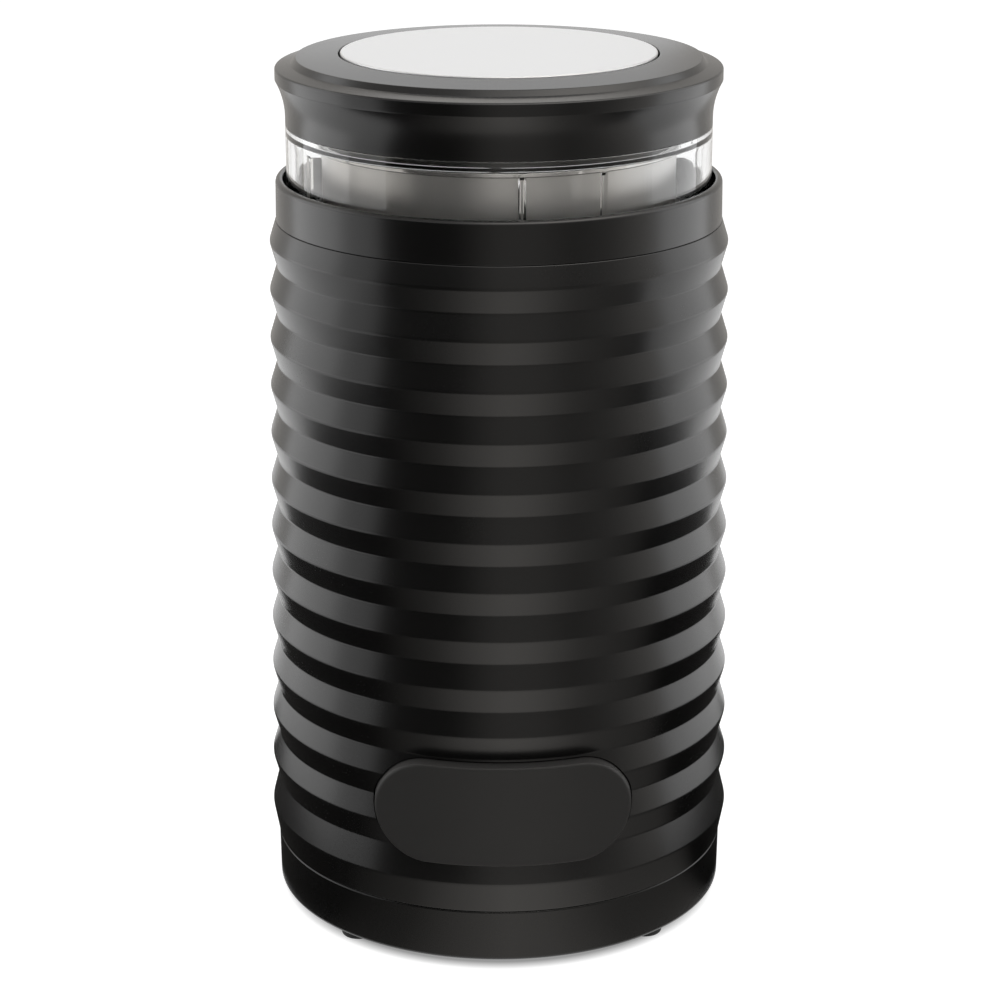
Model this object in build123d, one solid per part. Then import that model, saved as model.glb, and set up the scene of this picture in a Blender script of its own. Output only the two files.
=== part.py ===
from build123d import *
from math import cos, radians, sin
import os

# Electric spice and coffee grinder with a blade, standing on its feet.
# Millimetres, +Z up, origin at the centre of the footprint on the table, badge towards -Y.

# ---- clearances ----
running_gap = 0.05      # radial, shaft or rod that turns or slides in its bore
fit_gap = 0.2           # radial, moulded parts that slip together and stay put
press_gap = 0.02        # radial, metal parts pressed on the shaft or into a hub
bolt_gap = 0.1          # radial, screw shank in its hole
button_gap = 0.35       # radial, ring gap round the push button
seam_round = 0.4        # small edge round where two mouldings meet

# ---- outside shape, from the table up ----
foot_stand = 2.0        # feet hold the base this far off the table
base_height = 11.15
base_inset = 1.3        # base edge inside the lowest rib crest
base_taper = 0.2        # base draws in this much towards the table
base_round = 1.0
base_wall = 2.6
base_floor = 2.4
rib_count = 13
rib_pitch = 10.25
rib_depth = 1.5
rib_low_height = 13.0   # lowest rib, taller than the others
rib_top_height = 9.5    # uppermost rib, cut short by the collar
rib_radius_low = 49.6   # crest radius at the lower end of the ribs
housing_taper = 2.2     # crests draw in this much over the ribs
crest_round = 1.6
valley_round = 1.1
collar_height = 8.7
collar_inset = 1.35     # collar inside the uppermost rib crest
collar_taper = 0.1
collar_round = 0.9
lid_show = 11.05        # clear wall seen between collar and cap
cap_height = 14.2
cap_flare = 1.95        # cap's widest part beyond the clear wall
cap_skirt_straight = 1.4
rim_height = 2.4        # upright band round the cap's widest part
rim_drop = 2.6          # from the cap's top face down to that band
rim_ring_rise = 0.7
rim_ring_width = 3.2    # flat ring inside the band
step_width = 1.0        # sloping step from that ring up to the plateau
plateau_drop = 0.7
rim_round = 0.5
cap_edge_round = 0.3

# ---- badge ----
badge_width = 52.6
badge_height = 21.7
badge_z = 35.1
badge_proud = 0.9       # badge face outside the lowest rib crest
badge_seat = 2.2        # pocket floor inside that crest
badge_round = 0.6
badge_gap = 0.3

# ---- feet, base screws, vents, cord gland ----
foot_count = 4
foot_inset = 0.6        # feet inside the flat of the base
foot_radius = 3.6
foot_recess = 1.0
screw_angles = (30, 150, 270)
column_radius = 3.9
boss_radius = 4.3
boss_cover = 2.0        # boss above the screw's tip
screw_shank = 1.3
screw_length = 18.0
screw_head_radius = 2.7
screw_head_height = 2.0
screw_head_sunk = 2.0
screw_tip_gap = 1.0
vent_count = 12
vent_inner = 15.0
vent_outer = 29.0
vent_width = 2.4
gland_bore = 2.7
gland_sleeve = 3.55
gland_flange = 4.3
gland_rise = 6.8        # gland axis above the underside of the base
gland_inner_flange = 1.4

# ---- housing inside ----
housing_wall = 2.2      # at the uppermost rib valley
deck_step = 1.4         # shoulder in the bore that carries the deck
spigot_depth = 3.0

# ---- bowl and deck ----
bowl_bead_gap = 0.55    # from the bowl's bead to the lid's rod channel
bowl_bead_width = 0.8
bowl_bead_height = 1.6
bowl_lid_gap = 0.9      # from the bowl's rim up to the lid's ledge
bowl_sheet = 0.8
bowl_corner = 10.0
bowl_hole = 6.0
deck_rise = 8.0         # deck above the switch
deck_thickness = 3.0
deck_skirt_wall = 1.5
deck_skirt_depth = 3.0
seal_height = 1.4
seal_width = 1.1

# ---- collar ----
collar_wall = 1.5
mouth_depth = 6.7
shelf_hole_gap = 0.3
collar_spigot_wall = 2.0
collar_spigot_depth = 6.0

# ---- lid ----
lid_gap = 0.75          # from the collar's mouth to the lid
lid_wall = 1.8
lid_ledge_height = 1.9
lid_ledge_width = 1.7
roof_rise = 0.3         # roof underside above the cap's lower edge
roof_thickness = 1.8
neck_height = 3.8
locating_rib_width = 1.0
locating_rib_depth = 0.7
locating_rib_height = 13.9
locating_rib_turn = 5.5
cap_skirt_wall = 1.6
cap_plate_drop = 3.9    # cap's top face down to the underside of its plate
guide_wall = 1.6

# ---- push button and switch train ----
disc_radius = 32.3
disc_thickness = 1.0
disc_proud = 0.2
carrier_plate = 2.2
carrier_skirt_wall = 1.8
carrier_flange_width = 1.6
carrier_flange_height = 1.4
carrier_stop_gap = 0.2
button_travel = 2.2
arm_room = 0.5          # left under the pressed arm
post_radius = 2.55
post_wall = 1.6
post_room = 0.7         # left under the pressed post and over its boss
arm_width = 5.0
arm_rim = 0.5           # arm beyond the push rod's hole
push_rod_radius = 1.3
push_rod_head_radius = 2.1
push_rod_head_height = 1.0
rod_channel_wall = 0.7
rod_channel_clear = 2.4
switch_rod_radius = 1.7
switch_rod_body_radius = 2.2
switch_rod_proud = 0.4
rod_touch_gap = 0.2
rod_guide_depth = 8.0
rod_guide_wall = 1.45
rod_flange_radius = 3.0
rod_flange_height = 1.5
rod_spring_length = 8.0
toe_width = 3.2
toe_reach = 1.4         # toe beyond the middle of the lever
toe_height = 2.2
toe_rise = 3.8          # toe above the switch
spring_wire = 0.45
spring_radius = 5.6
spring_turns = 4
rod_spring_wire = 0.35
rod_spring_radius = 2.4
rod_spring_turns = 4

# ---- microswitch ----
switch_length = 20.0
switch_width = 6.0
switch_height = 10.0
switch_room = 2.5       # from the switch to the housing's bore
switch_top_z = 102.0
switch_plate = 1.8
terminal_length = 4.0
terminal_width = 3.0
terminal_sheet = 0.6
lever_pivot_x = -8.6
lever_pivot_rise = 0.7
lever_sheet = 0.4
lever_width = 4.0
lever_length = 18.5
lever_angle = 15.0
lever_barrel = 0.6
lever_pin = 0.35
ear_sheet = 0.6
nub_x = -3.0
nub_radius = 0.8
nub_rise = 1.6
nub_depth = 2.6

# ---- motor, hung from the deck ----
mount_height = 6.0      # rubber mounts between deck and upper bracket
plate_thickness = 3.0
stack_height = 26.0
lower_plate_drop = 13.0  # lower bracket below the brushes
stator_width = 58.0
stator_depth = 48.0
stator_round = 6.0
stator_bore = 15.0
pole_half_angle = 37.0
pocket_radius = 22.0
coil_inner = 15.9
coil_outer = 21.5
coil_half_angle = 50.0
coil_window_angle = 38.5
coil_overhang = 6.0
coil_gap = 0.2
bolt_x = 23.5
bolt_y = 18.5
bolt_radius = 1.6
bolt_head_radius = 3.0
bolt_head_height = 2.0
motor_post_radius = 3.2
hub_radius = 9.2
bearing_radius = 7.0
bearing_height = 6.0
upper_plate_margin = 6.0  # upper bracket beyond the middle of its mounts
upper_plate_round = 8.0
mount_room = 2.16       # from the rubber mounts to the deck's skirt
mount_radius = 4.5
mount_shank = 1.5
mount_head_radius = 3.0
mount_head_height = 2.0
brush_width = 5.0
brush_height = 6.0
brush_length = 8.3
brush_gap = 0.1
holder_inner = 10.6
holder_outer = 25.0
holder_width = 10.0
holder_height = 15.5
holder_back = 1.5
brush_spring_radius = 1.7
brush_spring_wire = 0.3
brush_spring_turns = 3

# ---- rotor ----
shaft_radius = 3.0
shaft_end_drop = 1.0    # shaft end below the lower bracket
shaft_tip_radius = 2.5
blade_rise = 5.5        # blade above the deck
blade_sheet = 1.5
blade_reach = 29.0
blade_flat = 9.0
blade_root_width = 13.0
blade_tip_width = 6.5
blade_sweep = 4.0
blade_up = 5.0
blade_down = 2.0
blade_grind = 1.0
nut_flats = 8.0
nut_height = 4.5
air_gap = 0.6
core_overhang = 1.0
core_slots = 10
core_slot_width = 2.0
core_slot_depth = 4.0
winding_radius = 12.5
winding_height = 5.1
winding_round = 2.0
commutator_radius = 9.0
commutator_height = 10.0
commutator_gap = 0.4    # from the riser up to the windings
riser_radius = 10.2
riser_height = 1.5
fan_low_gap = 1.4       # from the windings up to the fan
fan_high_gap = 1.0      # from the fan up to the bearing's hub
fan_radius = 22.0
fan_hub = 6.0
fan_sheet = 1.2
fan_height = 6.0
fan_vanes = 9
fan_vane_sheet = 1.0
bush_flange_radius = 9.0
bush_flange_height = 1.4
bush_length = 7.8
bush_nut_radius = 9.0
bush_nut_height = 3.0

# ---- worked out from the values above ----
base_z = foot_stand
seam_low_z = base_z + base_height
valley_low_z = seam_low_z + rib_low_height
valley_high_z = valley_low_z + (rib_count - 2) * rib_pitch
seam_high_z = valley_high_z + rib_top_height
rib_radius_high = rib_radius_low - housing_taper
base_radius_high = rib_radius_low - base_inset
base_radius_low = base_radius_high - base_taper
collar_radius_low = rib_radius_high - collar_inset
collar_radius_high = collar_radius_low - collar_taper
mouth_radius = collar_radius_high - collar_wall
lid_radius = mouth_radius - lid_gap
cap_radius = lid_radius + cap_flare
step_radius = cap_radius - rim_ring_width
plateau_radius = step_radius - step_width
upper_bore = rib_radius_high - rib_depth - housing_wall
lower_bore = upper_bore - deck_step
foot_ring = base_radius_low - base_round - foot_radius - foot_inset
screw_ring = lower_bore - column_radius - fit_gap
collar_top_z = seam_high_z + collar_height
cap_z = collar_top_z + lid_show
top_z = cap_z + cap_height
shelf_z = collar_top_z - mouth_depth
floor_z = base_z + base_floor
screw_shoulder_z = base_z + screw_head_sunk + screw_head_height
screw_tip_z = screw_shoulder_z + screw_length
badge_radius = rib_radius_low + badge_proud
badge_pocket_radius = rib_radius_low - badge_seat
gland_z = base_z + gland_rise
base_bore = base_radius_high - base_wall
spigot_radius = base_bore - fit_gap
deck_z = switch_top_z + deck_rise
deck_top_z = deck_z + deck_thickness
lid_inner = lid_radius - lid_wall
ledge_inner = lid_inner - lid_ledge_width
ledge_z = cap_z - lid_ledge_height
bowl_rim_z = ledge_z - bowl_lid_gap
roof_z = cap_z + roof_rise
roof_top_z = roof_z + roof_thickness
cap_inner = lid_radius - cap_skirt_wall
neck_radius = cap_inner - fit_gap
button_bore = disc_radius + button_gap
flange_z = roof_top_z + button_travel + arm_room
flange_top_z = flange_z + carrier_flange_height
guide_low_z = flange_top_z + carrier_stop_gap
post_end_z = roof_top_z + button_travel + post_room
disc_top_z = top_z + disc_proud
disc_z = disc_top_z - disc_thickness
carrier_z = disc_z - carrier_plate
post_boss_z = carrier_z - button_travel - post_room
rod_channel_bore = push_rod_radius + running_gap
rod_channel_radius = rod_channel_bore + rod_channel_wall
rod_ring = lid_inner - rod_channel_radius - running_gap
bowl_bead_radius = rod_ring - rod_channel_radius - bowl_bead_gap
bowl_radius = bowl_bead_radius - bowl_bead_width
guide_bore = switch_rod_radius + running_gap
rod_guide_z = seam_high_z - rod_guide_depth
rod_low_z = shelf_z + switch_rod_proud
push_rod_z = rod_low_z + rod_touch_gap
switch_inner_y = lower_bore - switch_room - switch_width
lever_pivot_z = switch_top_z + lever_pivot_rise
lever_y = switch_inner_y + switch_width / 2
toe_z = switch_top_z + toe_rise
mount_spot = (lower_bore - fit_gap - deck_skirt_wall - mount_radius - mount_room) / 2**0.5
upper_plate_width = 2 * (mount_spot + upper_plate_margin)
upper_top_z = deck_z - mount_height
upper_plate_z = upper_top_z - plate_thickness
hub_low_z = upper_top_z - plate_thickness / 2 - bearing_height
fan_z = hub_low_z - fan_high_gap - fan_height
core_radius = stator_bore - air_gap
core_top_z = fan_z - fan_low_gap - winding_height
stack_top_z = core_top_z - core_overhang
stack_z = stack_top_z - stack_height
core_z = stack_z - core_overhang
commutator_top_z = core_z - winding_height - commutator_gap - riser_height
commutator_z = commutator_top_z - commutator_height
brush_z = commutator_z + commutator_height / 2
lower_plate_z = brush_z - lower_plate_drop
lower_top_z = lower_plate_z + plate_thickness
shaft_end_z = lower_plate_z - shaft_end_drop
shaft_bore = shaft_radius + press_gap
bearing_bore = shaft_radius + running_gap
blade_z = deck_top_z + blade_rise
blade_top_z = blade_z + blade_sheet
bolt_spots = [(x, y) for x in (-bolt_x, bolt_x) for y in (-bolt_y, bolt_y)]
mount_spots = [(x, y) for x in (-mount_spot, mount_spot) for y in (-mount_spot, mount_spot)]


def post(radius, low, high, x=0, y=0):
    """Upright cylinder between two heights."""
    upright = (Align.CENTER, Align.CENTER, Align.MIN)
    return Pos(x, y, low) * Cylinder(radius, high - low, align=upright)


def tube(outer, inner, low, high, x=0, y=0):
    """Upright tube between two heights."""
    return post(outer, low, high, x, y) - post(inner, low, high, x, y)


def block(x, y, z):
    """Box from pairs of low and high coordinates."""
    size = Box(x[1] - x[0], y[1] - y[0], z[1] - z[0], align=(Align.MIN, Align.MIN, Align.MIN))
    return Pos(x[0], y[0], z[0]) * size


def section(corners, rounds=()):
    """Closed outline of (radius, height) corners, with some of them rounded."""
    face = make_face(Polyline(*corners, close=True))
    for corner, radius in rounds:
        nearest = face.vertices().sort_by_distance((corner[0], corner[1], 0))[0]
        face = fillet(nearest, radius)
    return face


def turned(face, angle=360):
    """Solid of revolution about the vertical axis from an outline of radius and height."""
    return revolve(Plane.XZ * face, Axis.Z, angle)


def coil_spring(radius, wire, turns, length):
    """Open coil spring along +Z from the origin, as long as the space between its seats."""
    height = length - 2 * (wire + running_gap)
    path = Helix(pitch=height / turns, height=height, radius=radius)
    start = Plane(origin=path @ 0, z_dir=path % 0)
    return Pos(0, 0, wire + running_gap) * sweep(start * Circle(wire), path=path, is_frenet=True)


def turned_places(angles, radius):
    """Points on a circle at the given angles from +X."""
    return [(radius * cos(radians(a)), radius * sin(radians(a))) for a in angles]


foot_places = turned_places([360 / foot_count * (i + 0.5) for i in range(foot_count)], foot_ring)
screw_places = turned_places(screw_angles, screw_ring)


# ---- casing ----
def base_envelope():
    """Outside of the base, filled in."""
    corners = [
        (0, base_z),
        (base_radius_low, base_z),
        (base_radius_high, seam_low_z),
        (0, seam_low_z),
    ]
    rounds = [((base_radius_low, base_z), base_round), ((base_radius_high, seam_low_z), seam_round)]
    return section(corners, rounds)


def base():
    """Round tray that closes the bottom, with screw columns, vents and the gland hole."""
    tray = turned(base_envelope()) - post(base_bore, floor_z, seam_low_z)
    for x, y in screw_places:
        tray += post(column_radius, floor_z, seam_low_z, x, y)
        tray -= post(screw_shank + bolt_gap, base_z, seam_low_z, x, y)
        tray -= post(screw_head_radius + bolt_gap, base_z, screw_shoulder_z, x, y)
    for x, y in foot_places:
        tray -= post(foot_radius + bolt_gap, base_z, base_z + foot_recess, x, y)
    slot = SlotCenterToCenter(vent_outer - vent_inner - vent_width, vent_width)
    for place in PolarLocations((vent_inner + vent_outer) / 2, vent_count):
        tray -= Pos(0, 0, base_z) * place * extrude(slot, base_floor)
    gland_hole = Cylinder(gland_sleeve + bolt_gap, 4 * base_wall, rotation=(90, 0, 0))
    return tray - Pos(0, base_radius_high - base_wall, gland_z) * gland_hole


def feet():
    """Soft pads let into the underside of the base."""
    return [post(foot_radius, 0, base_z + foot_recess, x, y) for x, y in foot_places]


def base_screws():
    """Screws from below through the base columns into the housing bosses."""
    screws = []
    for x, y in screw_places:
        head = post(screw_head_radius, base_z + screw_head_sunk, screw_shoulder_z, x, y)
        screws.append(head + post(screw_shank, screw_shoulder_z, screw_tip_z, x, y))
    return screws


def cord_gland():
    """Flanged bush in the back of the base, for the mains cord."""
    inside = (base_bore**2 - gland_flange**2) ** 0.5 - running_gap
    sleeve = [
        (gland_bore, inside - gland_inner_flange),
        (gland_flange, inside - gland_inner_flange),
        (gland_flange, inside),
        (gland_sleeve, inside),
        (gland_sleeve, base_radius_high),
        (gland_bore, base_radius_high),
    ]
    flange = [
        (gland_bore, base_bore),
        (gland_flange, base_bore),
        (gland_flange, badge_radius),
        (gland_bore, badge_radius),
    ]
    rounded = section(flange, [((gland_flange, badge_radius), seam_round)])
    stand = Pos(0, 0, gland_z) * Rot(-90, 0, 0)
    wall = Pos(0, running_gap, 0) * turned(base_envelope())
    return stand * turned(section(sleeve)) + (stand * turned(rounded) - wall)


def crest_point(z):
    """Corner on the line of the rib crests, which draws in a little towards the top."""
    share = (z - seam_low_z) / (seam_high_z - seam_low_z)
    return (rib_radius_low - housing_taper * share, z)


def valley_point(z):
    """Corner a rib's depth inside the line of the crests."""
    return (crest_point(z)[0] - rib_depth, z)


def ribbed_outline():
    """Housing wall: ribs with two straight flanks outside, two bores inside, spigot at the foot."""
    heights = [valley_low_z + i * rib_pitch for i in range(rib_count - 1)]
    valleys = [valley_point(z) for z in heights]
    crests = [crest_point(z + rib_pitch / 2) for z in heights]
    lowest = crest_point((seam_low_z + valley_low_z) / 2)
    flanks = [corner for pair in zip(valleys, crests) for corner in pair]
    cut_depth = rib_depth * (2 * rib_top_height / rib_pitch - 1)
    inside = [
        (crest_point(seam_high_z)[0] - cut_depth, seam_high_z),
        (upper_bore, seam_high_z),
        (upper_bore, deck_z),
        (lower_bore, deck_z),
        (lower_bore, seam_low_z - spigot_depth),
        (spigot_radius, seam_low_z - spigot_depth),
        (spigot_radius, seam_low_z),
        (base_radius_high, seam_low_z),
    ]
    rounds = [(corner, valley_round) for corner in valleys]
    rounds += [(corner, crest_round) for corner in [lowest] + crests]
    rounds.append(((base_radius_high, seam_low_z), seam_round))
    return section([lowest] + flanks + inside, rounds)


def badge_prism(grow):
    """Stadium seen from the front, run through the front of the housing."""
    stadium = SlotOverall(badge_width + 2 * grow, badge_height + 2 * grow)
    return extrude(Plane.XZ.offset(badge_radius / 2) * Pos(0, badge_z) * stadium, badge_radius)


def housing():
    """Ribbed body with screw bosses, the badge pocket and a notch over the gland."""
    body = turned(ribbed_outline())
    for x, y in screw_places:
        boss = post(boss_radius, seam_low_z, screw_tip_z + boss_cover, x, y)
        body += boss & post(lower_bore + fit_gap, seam_low_z, screw_tip_z + boss_cover)
        body -= post(screw_shank + press_gap, seam_low_z, screw_tip_z + screw_tip_gap, x, y)
    body -= badge_prism(badge_gap) - post(badge_pocket_radius, 0, seam_high_z)
    notch = gland_flange + badge_gap
    return body - block((-notch, notch), (lower_bore - 2, spigot_radius + 0.1), (base_z, seam_low_z))


def badge():
    """Bare raised plate that follows the housing's curve."""
    plate = badge_prism(0) & tube(badge_radius, badge_pocket_radius + running_gap, 0, seam_high_z)
    front = plate.faces().filter_by(GeomType.CYLINDER).sort_by(lambda f: f.area)[-2:]
    face = max(front, key=lambda f: abs(f.center().Y))
    return fillet(face.edges(), badge_round)


def collar():
    """Ring over the housing: mouth for the lid, shelf round the bowl, guide for the switch rod."""
    hole = bowl_radius + shelf_hole_gap
    spigot = upper_bore - fit_gap
    corners = [
        (hole, shelf_z),
        (mouth_radius, shelf_z),
        (mouth_radius, collar_top_z),
        (collar_radius_high, collar_top_z),
        (collar_radius_low, seam_high_z),
        (spigot, seam_high_z),
        (spigot, seam_high_z - collar_spigot_depth),
        (spigot - collar_spigot_wall, seam_high_z - collar_spigot_depth),
        (spigot - collar_spigot_wall, seam_high_z),
        (hole, seam_high_z),
    ]
    rounds = [
        ((collar_radius_high, collar_top_z), collar_round),
        ((mouth_radius, collar_top_z), seam_round),
    ]
    ring = turned(section(corners, rounds))
    guide = post(guide_bore + rod_guide_wall, rod_guide_z, shelf_z, 0, rod_ring)
    ring += guide & tube(spigot, hole, rod_guide_z, shelf_z)
    return ring - post(guide_bore, rod_guide_z, shelf_z, 0, rod_ring)


# ---- bowl and what it stands on ----
def bowl():
    """Pressed steel cup with a rolled bead and a hole for the bush."""
    inner = bowl_radius - bowl_sheet
    corners = [
        (bowl_hole, deck_top_z),
        (bowl_radius, deck_top_z),
        (bowl_radius, bowl_rim_z - bowl_bead_height),
        (bowl_bead_radius, bowl_rim_z - bowl_bead_height),
        (bowl_bead_radius, bowl_rim_z),
        (inner, bowl_rim_z),
        (inner, deck_top_z + bowl_sheet),
        (bowl_hole, deck_top_z + bowl_sheet),
    ]
    rounds = [
        ((bowl_radius, deck_top_z), bowl_corner),
        ((inner, deck_top_z + bowl_sheet), bowl_corner - bowl_sheet),
        ((bowl_bead_radius, bowl_rim_z), bowl_bead_height / 2),
        ((inner, bowl_rim_z), bowl_bead_height / 3),
        ((bowl_bead_radius, bowl_rim_z - bowl_bead_height), bowl_bead_height / 4),
    ]
    return turned(section(corners, rounds))


def bowl_seal():
    """Soft ring that closes the gap between bowl and collar."""
    inner = bowl_radius + running_gap
    corners = [
        (inner, shelf_z),
        (inner + seal_width, shelf_z),
        (inner + seal_width, shelf_z + seal_height),
        (inner, shelf_z + seal_height),
    ]
    return turned(section(corners, [((inner + seal_width, shelf_z + seal_height), seam_round)]))


def bowl_deck():
    """Round plate on the housing's step: carries the bowl above and the motor and switch below."""
    rim = upper_bore - fit_gap
    skirt = lower_bore - fit_gap
    deck = post(rim, deck_z, deck_top_z)
    deck += tube(skirt, skirt - deck_skirt_wall, deck_z - deck_skirt_depth, deck_z)
    deck += block(
        (-switch_length / 2, switch_length / 2),
        (switch_inner_y - switch_plate, switch_inner_y),
        (switch_top_z - switch_height, deck_z),
    )
    deck -= post(bowl_hole, deck_z, deck_top_z)
    for x, y in mount_spots:
        deck -= post(mount_shank + bolt_gap, deck_z, deck_top_z, x, y)
        deck -= post(mount_head_radius + bolt_gap, deck_top_z - mount_head_height, deck_top_z, x, y)
    deck -= post(guide_bore, deck_z - deck_skirt_depth, deck_top_z, 0, rod_ring)
    slot_low = deck_z - deck_skirt_depth
    return deck - block((-guide_bore, guide_bore), (rod_ring, rim + 1), (slot_low, deck_top_z))


def shaft_bush():
    """Flanged bush that clamps the bowl to the deck and steadies the shaft."""
    low = deck_top_z + bowl_sheet - bush_length
    corners = [
        (bearing_bore, low),
        (bowl_hole - bolt_gap, low),
        (bowl_hole - bolt_gap, deck_top_z + bowl_sheet),
        (bush_flange_radius, deck_top_z + bowl_sheet),
        (bush_flange_radius, deck_top_z + bowl_sheet + bush_flange_height / 2),
        (shaft_radius * 1.6, deck_top_z + bowl_sheet + bush_flange_height),
        (bearing_bore, deck_top_z + bowl_sheet + bush_flange_height),
    ]
    return turned(section(corners))


def bush_nut():
    """Hexagon nut under the deck."""
    hexagon = RegularPolygon(bush_nut_radius, 6)
    nut = Pos(0, 0, deck_z - bush_nut_height) * extrude(hexagon, bush_nut_height)
    return nut - post(bowl_hole - bolt_gap + press_gap, deck_z - bush_nut_height, deck_z)


# ---- motor, fixed pieces ----
def lower_bracket():
    """Plate under the motor with a bearing hub and four posts up to the stator."""
    outline = RectangleRounded(stator_width, stator_depth, stator_round)
    plate = Pos(0, 0, lower_plate_z) * extrude(outline, plate_thickness)
    plate += post(hub_radius, lower_plate_z, lower_plate_z + bearing_height + plate_thickness / 2)
    plate -= post(bearing_radius, lower_plate_z, lower_plate_z + bearing_height + plate_thickness / 2)
    for x, y in bolt_spots:
        plate += post(motor_post_radius, lower_plate_z, stack_z, x, y)
        plate -= post(bolt_radius + bolt_gap, lower_plate_z, stack_z, x, y)
    return plate


def upper_bracket():
    """Plate over the motor with a bearing hub, four posts down and four mounting holes."""
    outline = RectangleRounded(upper_plate_width, upper_plate_width, upper_plate_round)
    plate = Pos(0, 0, upper_plate_z) * extrude(outline, plate_thickness)
    plate += post(hub_radius, hub_low_z, upper_plate_z)
    plate -= post(bearing_radius, hub_low_z, upper_top_z)
    for x, y in bolt_spots:
        plate += post(motor_post_radius, stack_top_z, upper_plate_z, x, y)
        plate -= post(bolt_radius + bolt_gap, stack_top_z, upper_top_z, x, y)
    for x, y in mount_spots:
        plate -= post(mount_shank + press_gap, upper_plate_z, upper_top_z, x, y)
    return plate


def bearing(low):
    """Plain sintered bearing."""
    return tube(bearing_radius - press_gap, bearing_bore, low, low + bearing_height)


def pocket_sector(inner, outer, half_angle, low, high, middle):
    """Part of a ring about the axis, centred on an angle from +X."""
    face = section([(inner, low), (outer, low), (outer, high), (inner, high)])
    return Rot(0, 0, middle - half_angle) * turned(face, 2 * half_angle)


def stator_core():
    """Lamination stack with two poles, coil pockets at the sides and bolt holes."""
    outline = RectangleRounded(stator_width, stator_depth, stator_round)
    core = Pos(0, 0, stack_z) * extrude(outline, stack_height)
    core -= post(stator_bore, stack_z, stack_top_z)
    for middle in (0, 180):
        pocket_angle = 90 - pole_half_angle
        core -= pocket_sector(stator_bore / 2, pocket_radius, pocket_angle, stack_z, stack_top_z, middle)
    for x, y in bolt_spots:
        core -= post(bolt_radius + bolt_gap, stack_z, stack_top_z, x, y)
    return core


def field_coils():
    """Saddle coil round each pole."""
    coils = []
    low = stack_z - coil_overhang
    high = stack_top_z + coil_overhang
    for middle in (90, 270):
        coil = pocket_sector(coil_inner, coil_outer, coil_half_angle, low, high, middle)
        window = (stack_z - coil_gap, stack_top_z + coil_gap)
        coil -= pocket_sector(coil_inner / 2, pocket_radius, coil_window_angle, *window, middle)
        coils.append(coil)
    return coils


def motor_bolts():
    """Long bolts through both brackets and the stator."""
    bolts = []
    for x, y in bolt_spots:
        head = post(bolt_head_radius, lower_plate_z - bolt_head_height, lower_plate_z, x, y)
        bolts.append(head + post(bolt_radius, lower_plate_z, upper_top_z, x, y))
    return bolts


def rubber_mounts():
    """Soft spacers between motor and deck."""
    hole = mount_shank + bolt_gap
    return [tube(mount_radius, hole, upper_top_z, deck_z, x, y) for x, y in mount_spots]


def mount_screws():
    """Screws sunk in the deck that hold the motor up against its mounts."""
    screws = []
    for x, y in mount_spots:
        head = post(mount_head_radius, deck_top_z - mount_head_height, deck_top_z, x, y)
        screws.append(head + post(mount_shank, upper_plate_z, deck_top_z - mount_head_height, x, y))
    return screws


def both_sides(piece):
    """A piece on the +X side and its twin turned to the -X side."""
    return [piece, Rot(0, 0, 180) * piece]


def brush_holders():
    """Insulating blocks on the lower bracket, each with a channel for its brush."""
    half = holder_width / 2
    holder = block((holder_inner, holder_outer), (-half, half), (lower_top_z, lower_top_z + holder_height))
    side = brush_width / 2 + brush_gap
    rise = brush_height / 2 + brush_gap
    length = (holder_inner, holder_outer - holder_back)
    channel = block(length, (-side, side), (brush_z - rise, brush_z + rise))
    return both_sides(holder - channel)


def carbon_brushes():
    """Carbon blocks, hollowed to the commutator's curve."""
    start = commutator_radius + brush_gap
    half = brush_width / 2
    rise = brush_height / 2
    brush = block((start - 1, start + brush_length), (-half, half), (brush_z - rise, brush_z + rise))
    return both_sides(brush - post(start, brush_z - rise, brush_z + rise))


def brush_springs():
    """Springs that press the brushes in."""
    start = commutator_radius + brush_gap + brush_length
    length = holder_outer - holder_back - start
    spring = coil_spring(brush_spring_radius, brush_spring_wire, brush_spring_turns, length)
    return both_sides(Pos(start, 0, brush_z) * Rot(0, 90, 0) * spring)


# ---- rotor ----
def shaft():
    """Motor shaft with a thinner threaded tip above the blade's seat."""
    spindle = post(shaft_radius, shaft_end_z, blade_z)
    return spindle + post(shaft_tip_radius, blade_z, blade_top_z + nut_height - 1)


def armature_core():
    """Slotted lamination stack on the shaft."""
    core = tube(core_radius, shaft_bore, core_z, core_top_z)
    slot = block(
        (core_radius - core_slot_depth, core_radius + 1),
        (-core_slot_width / 2, core_slot_width / 2),
        (core_z, core_top_z),
    )
    for i in range(core_slots):
        core -= Rot(0, 0, 360 / core_slots * i) * slot
    return core


def armature_windings():
    """Wire bundles above and below the armature core."""
    bundles = []
    for low in (core_z - winding_height, core_top_z):
        high = low + winding_height
        corners = [(shaft_bore, low), (winding_radius, low), (winding_radius, high), (shaft_bore, high)]
        rounds = [((winding_radius, low), winding_round), ((winding_radius, high), winding_round)]
        bundles.append(turned(section(corners, rounds)))
    return bundles


def commutator():
    """Copper drum with a riser at its upper end."""
    corners = [
        (shaft_bore, commutator_z),
        (commutator_radius, commutator_z),
        (commutator_radius, commutator_top_z),
        (riser_radius, commutator_top_z),
        (riser_radius, commutator_top_z + riser_height),
        (shaft_bore, commutator_top_z + riser_height),
    ]
    return turned(section(corners))


def fan():
    """Cooling fan: disc, hub and upright vanes."""
    top = fan_z + fan_height
    wheel = post(fan_radius, fan_z, fan_z + fan_sheet) + post(fan_hub, fan_z, top)
    vane = block((fan_hub - 1, fan_radius - 1), (-fan_vane_sheet / 2, fan_vane_sheet / 2), (fan_z, top))
    for i in range(fan_vanes):
        wheel += Rot(0, 0, 360 / fan_vanes * i) * vane
    return wheel - post(shaft_bore, fan_z, top)


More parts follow.
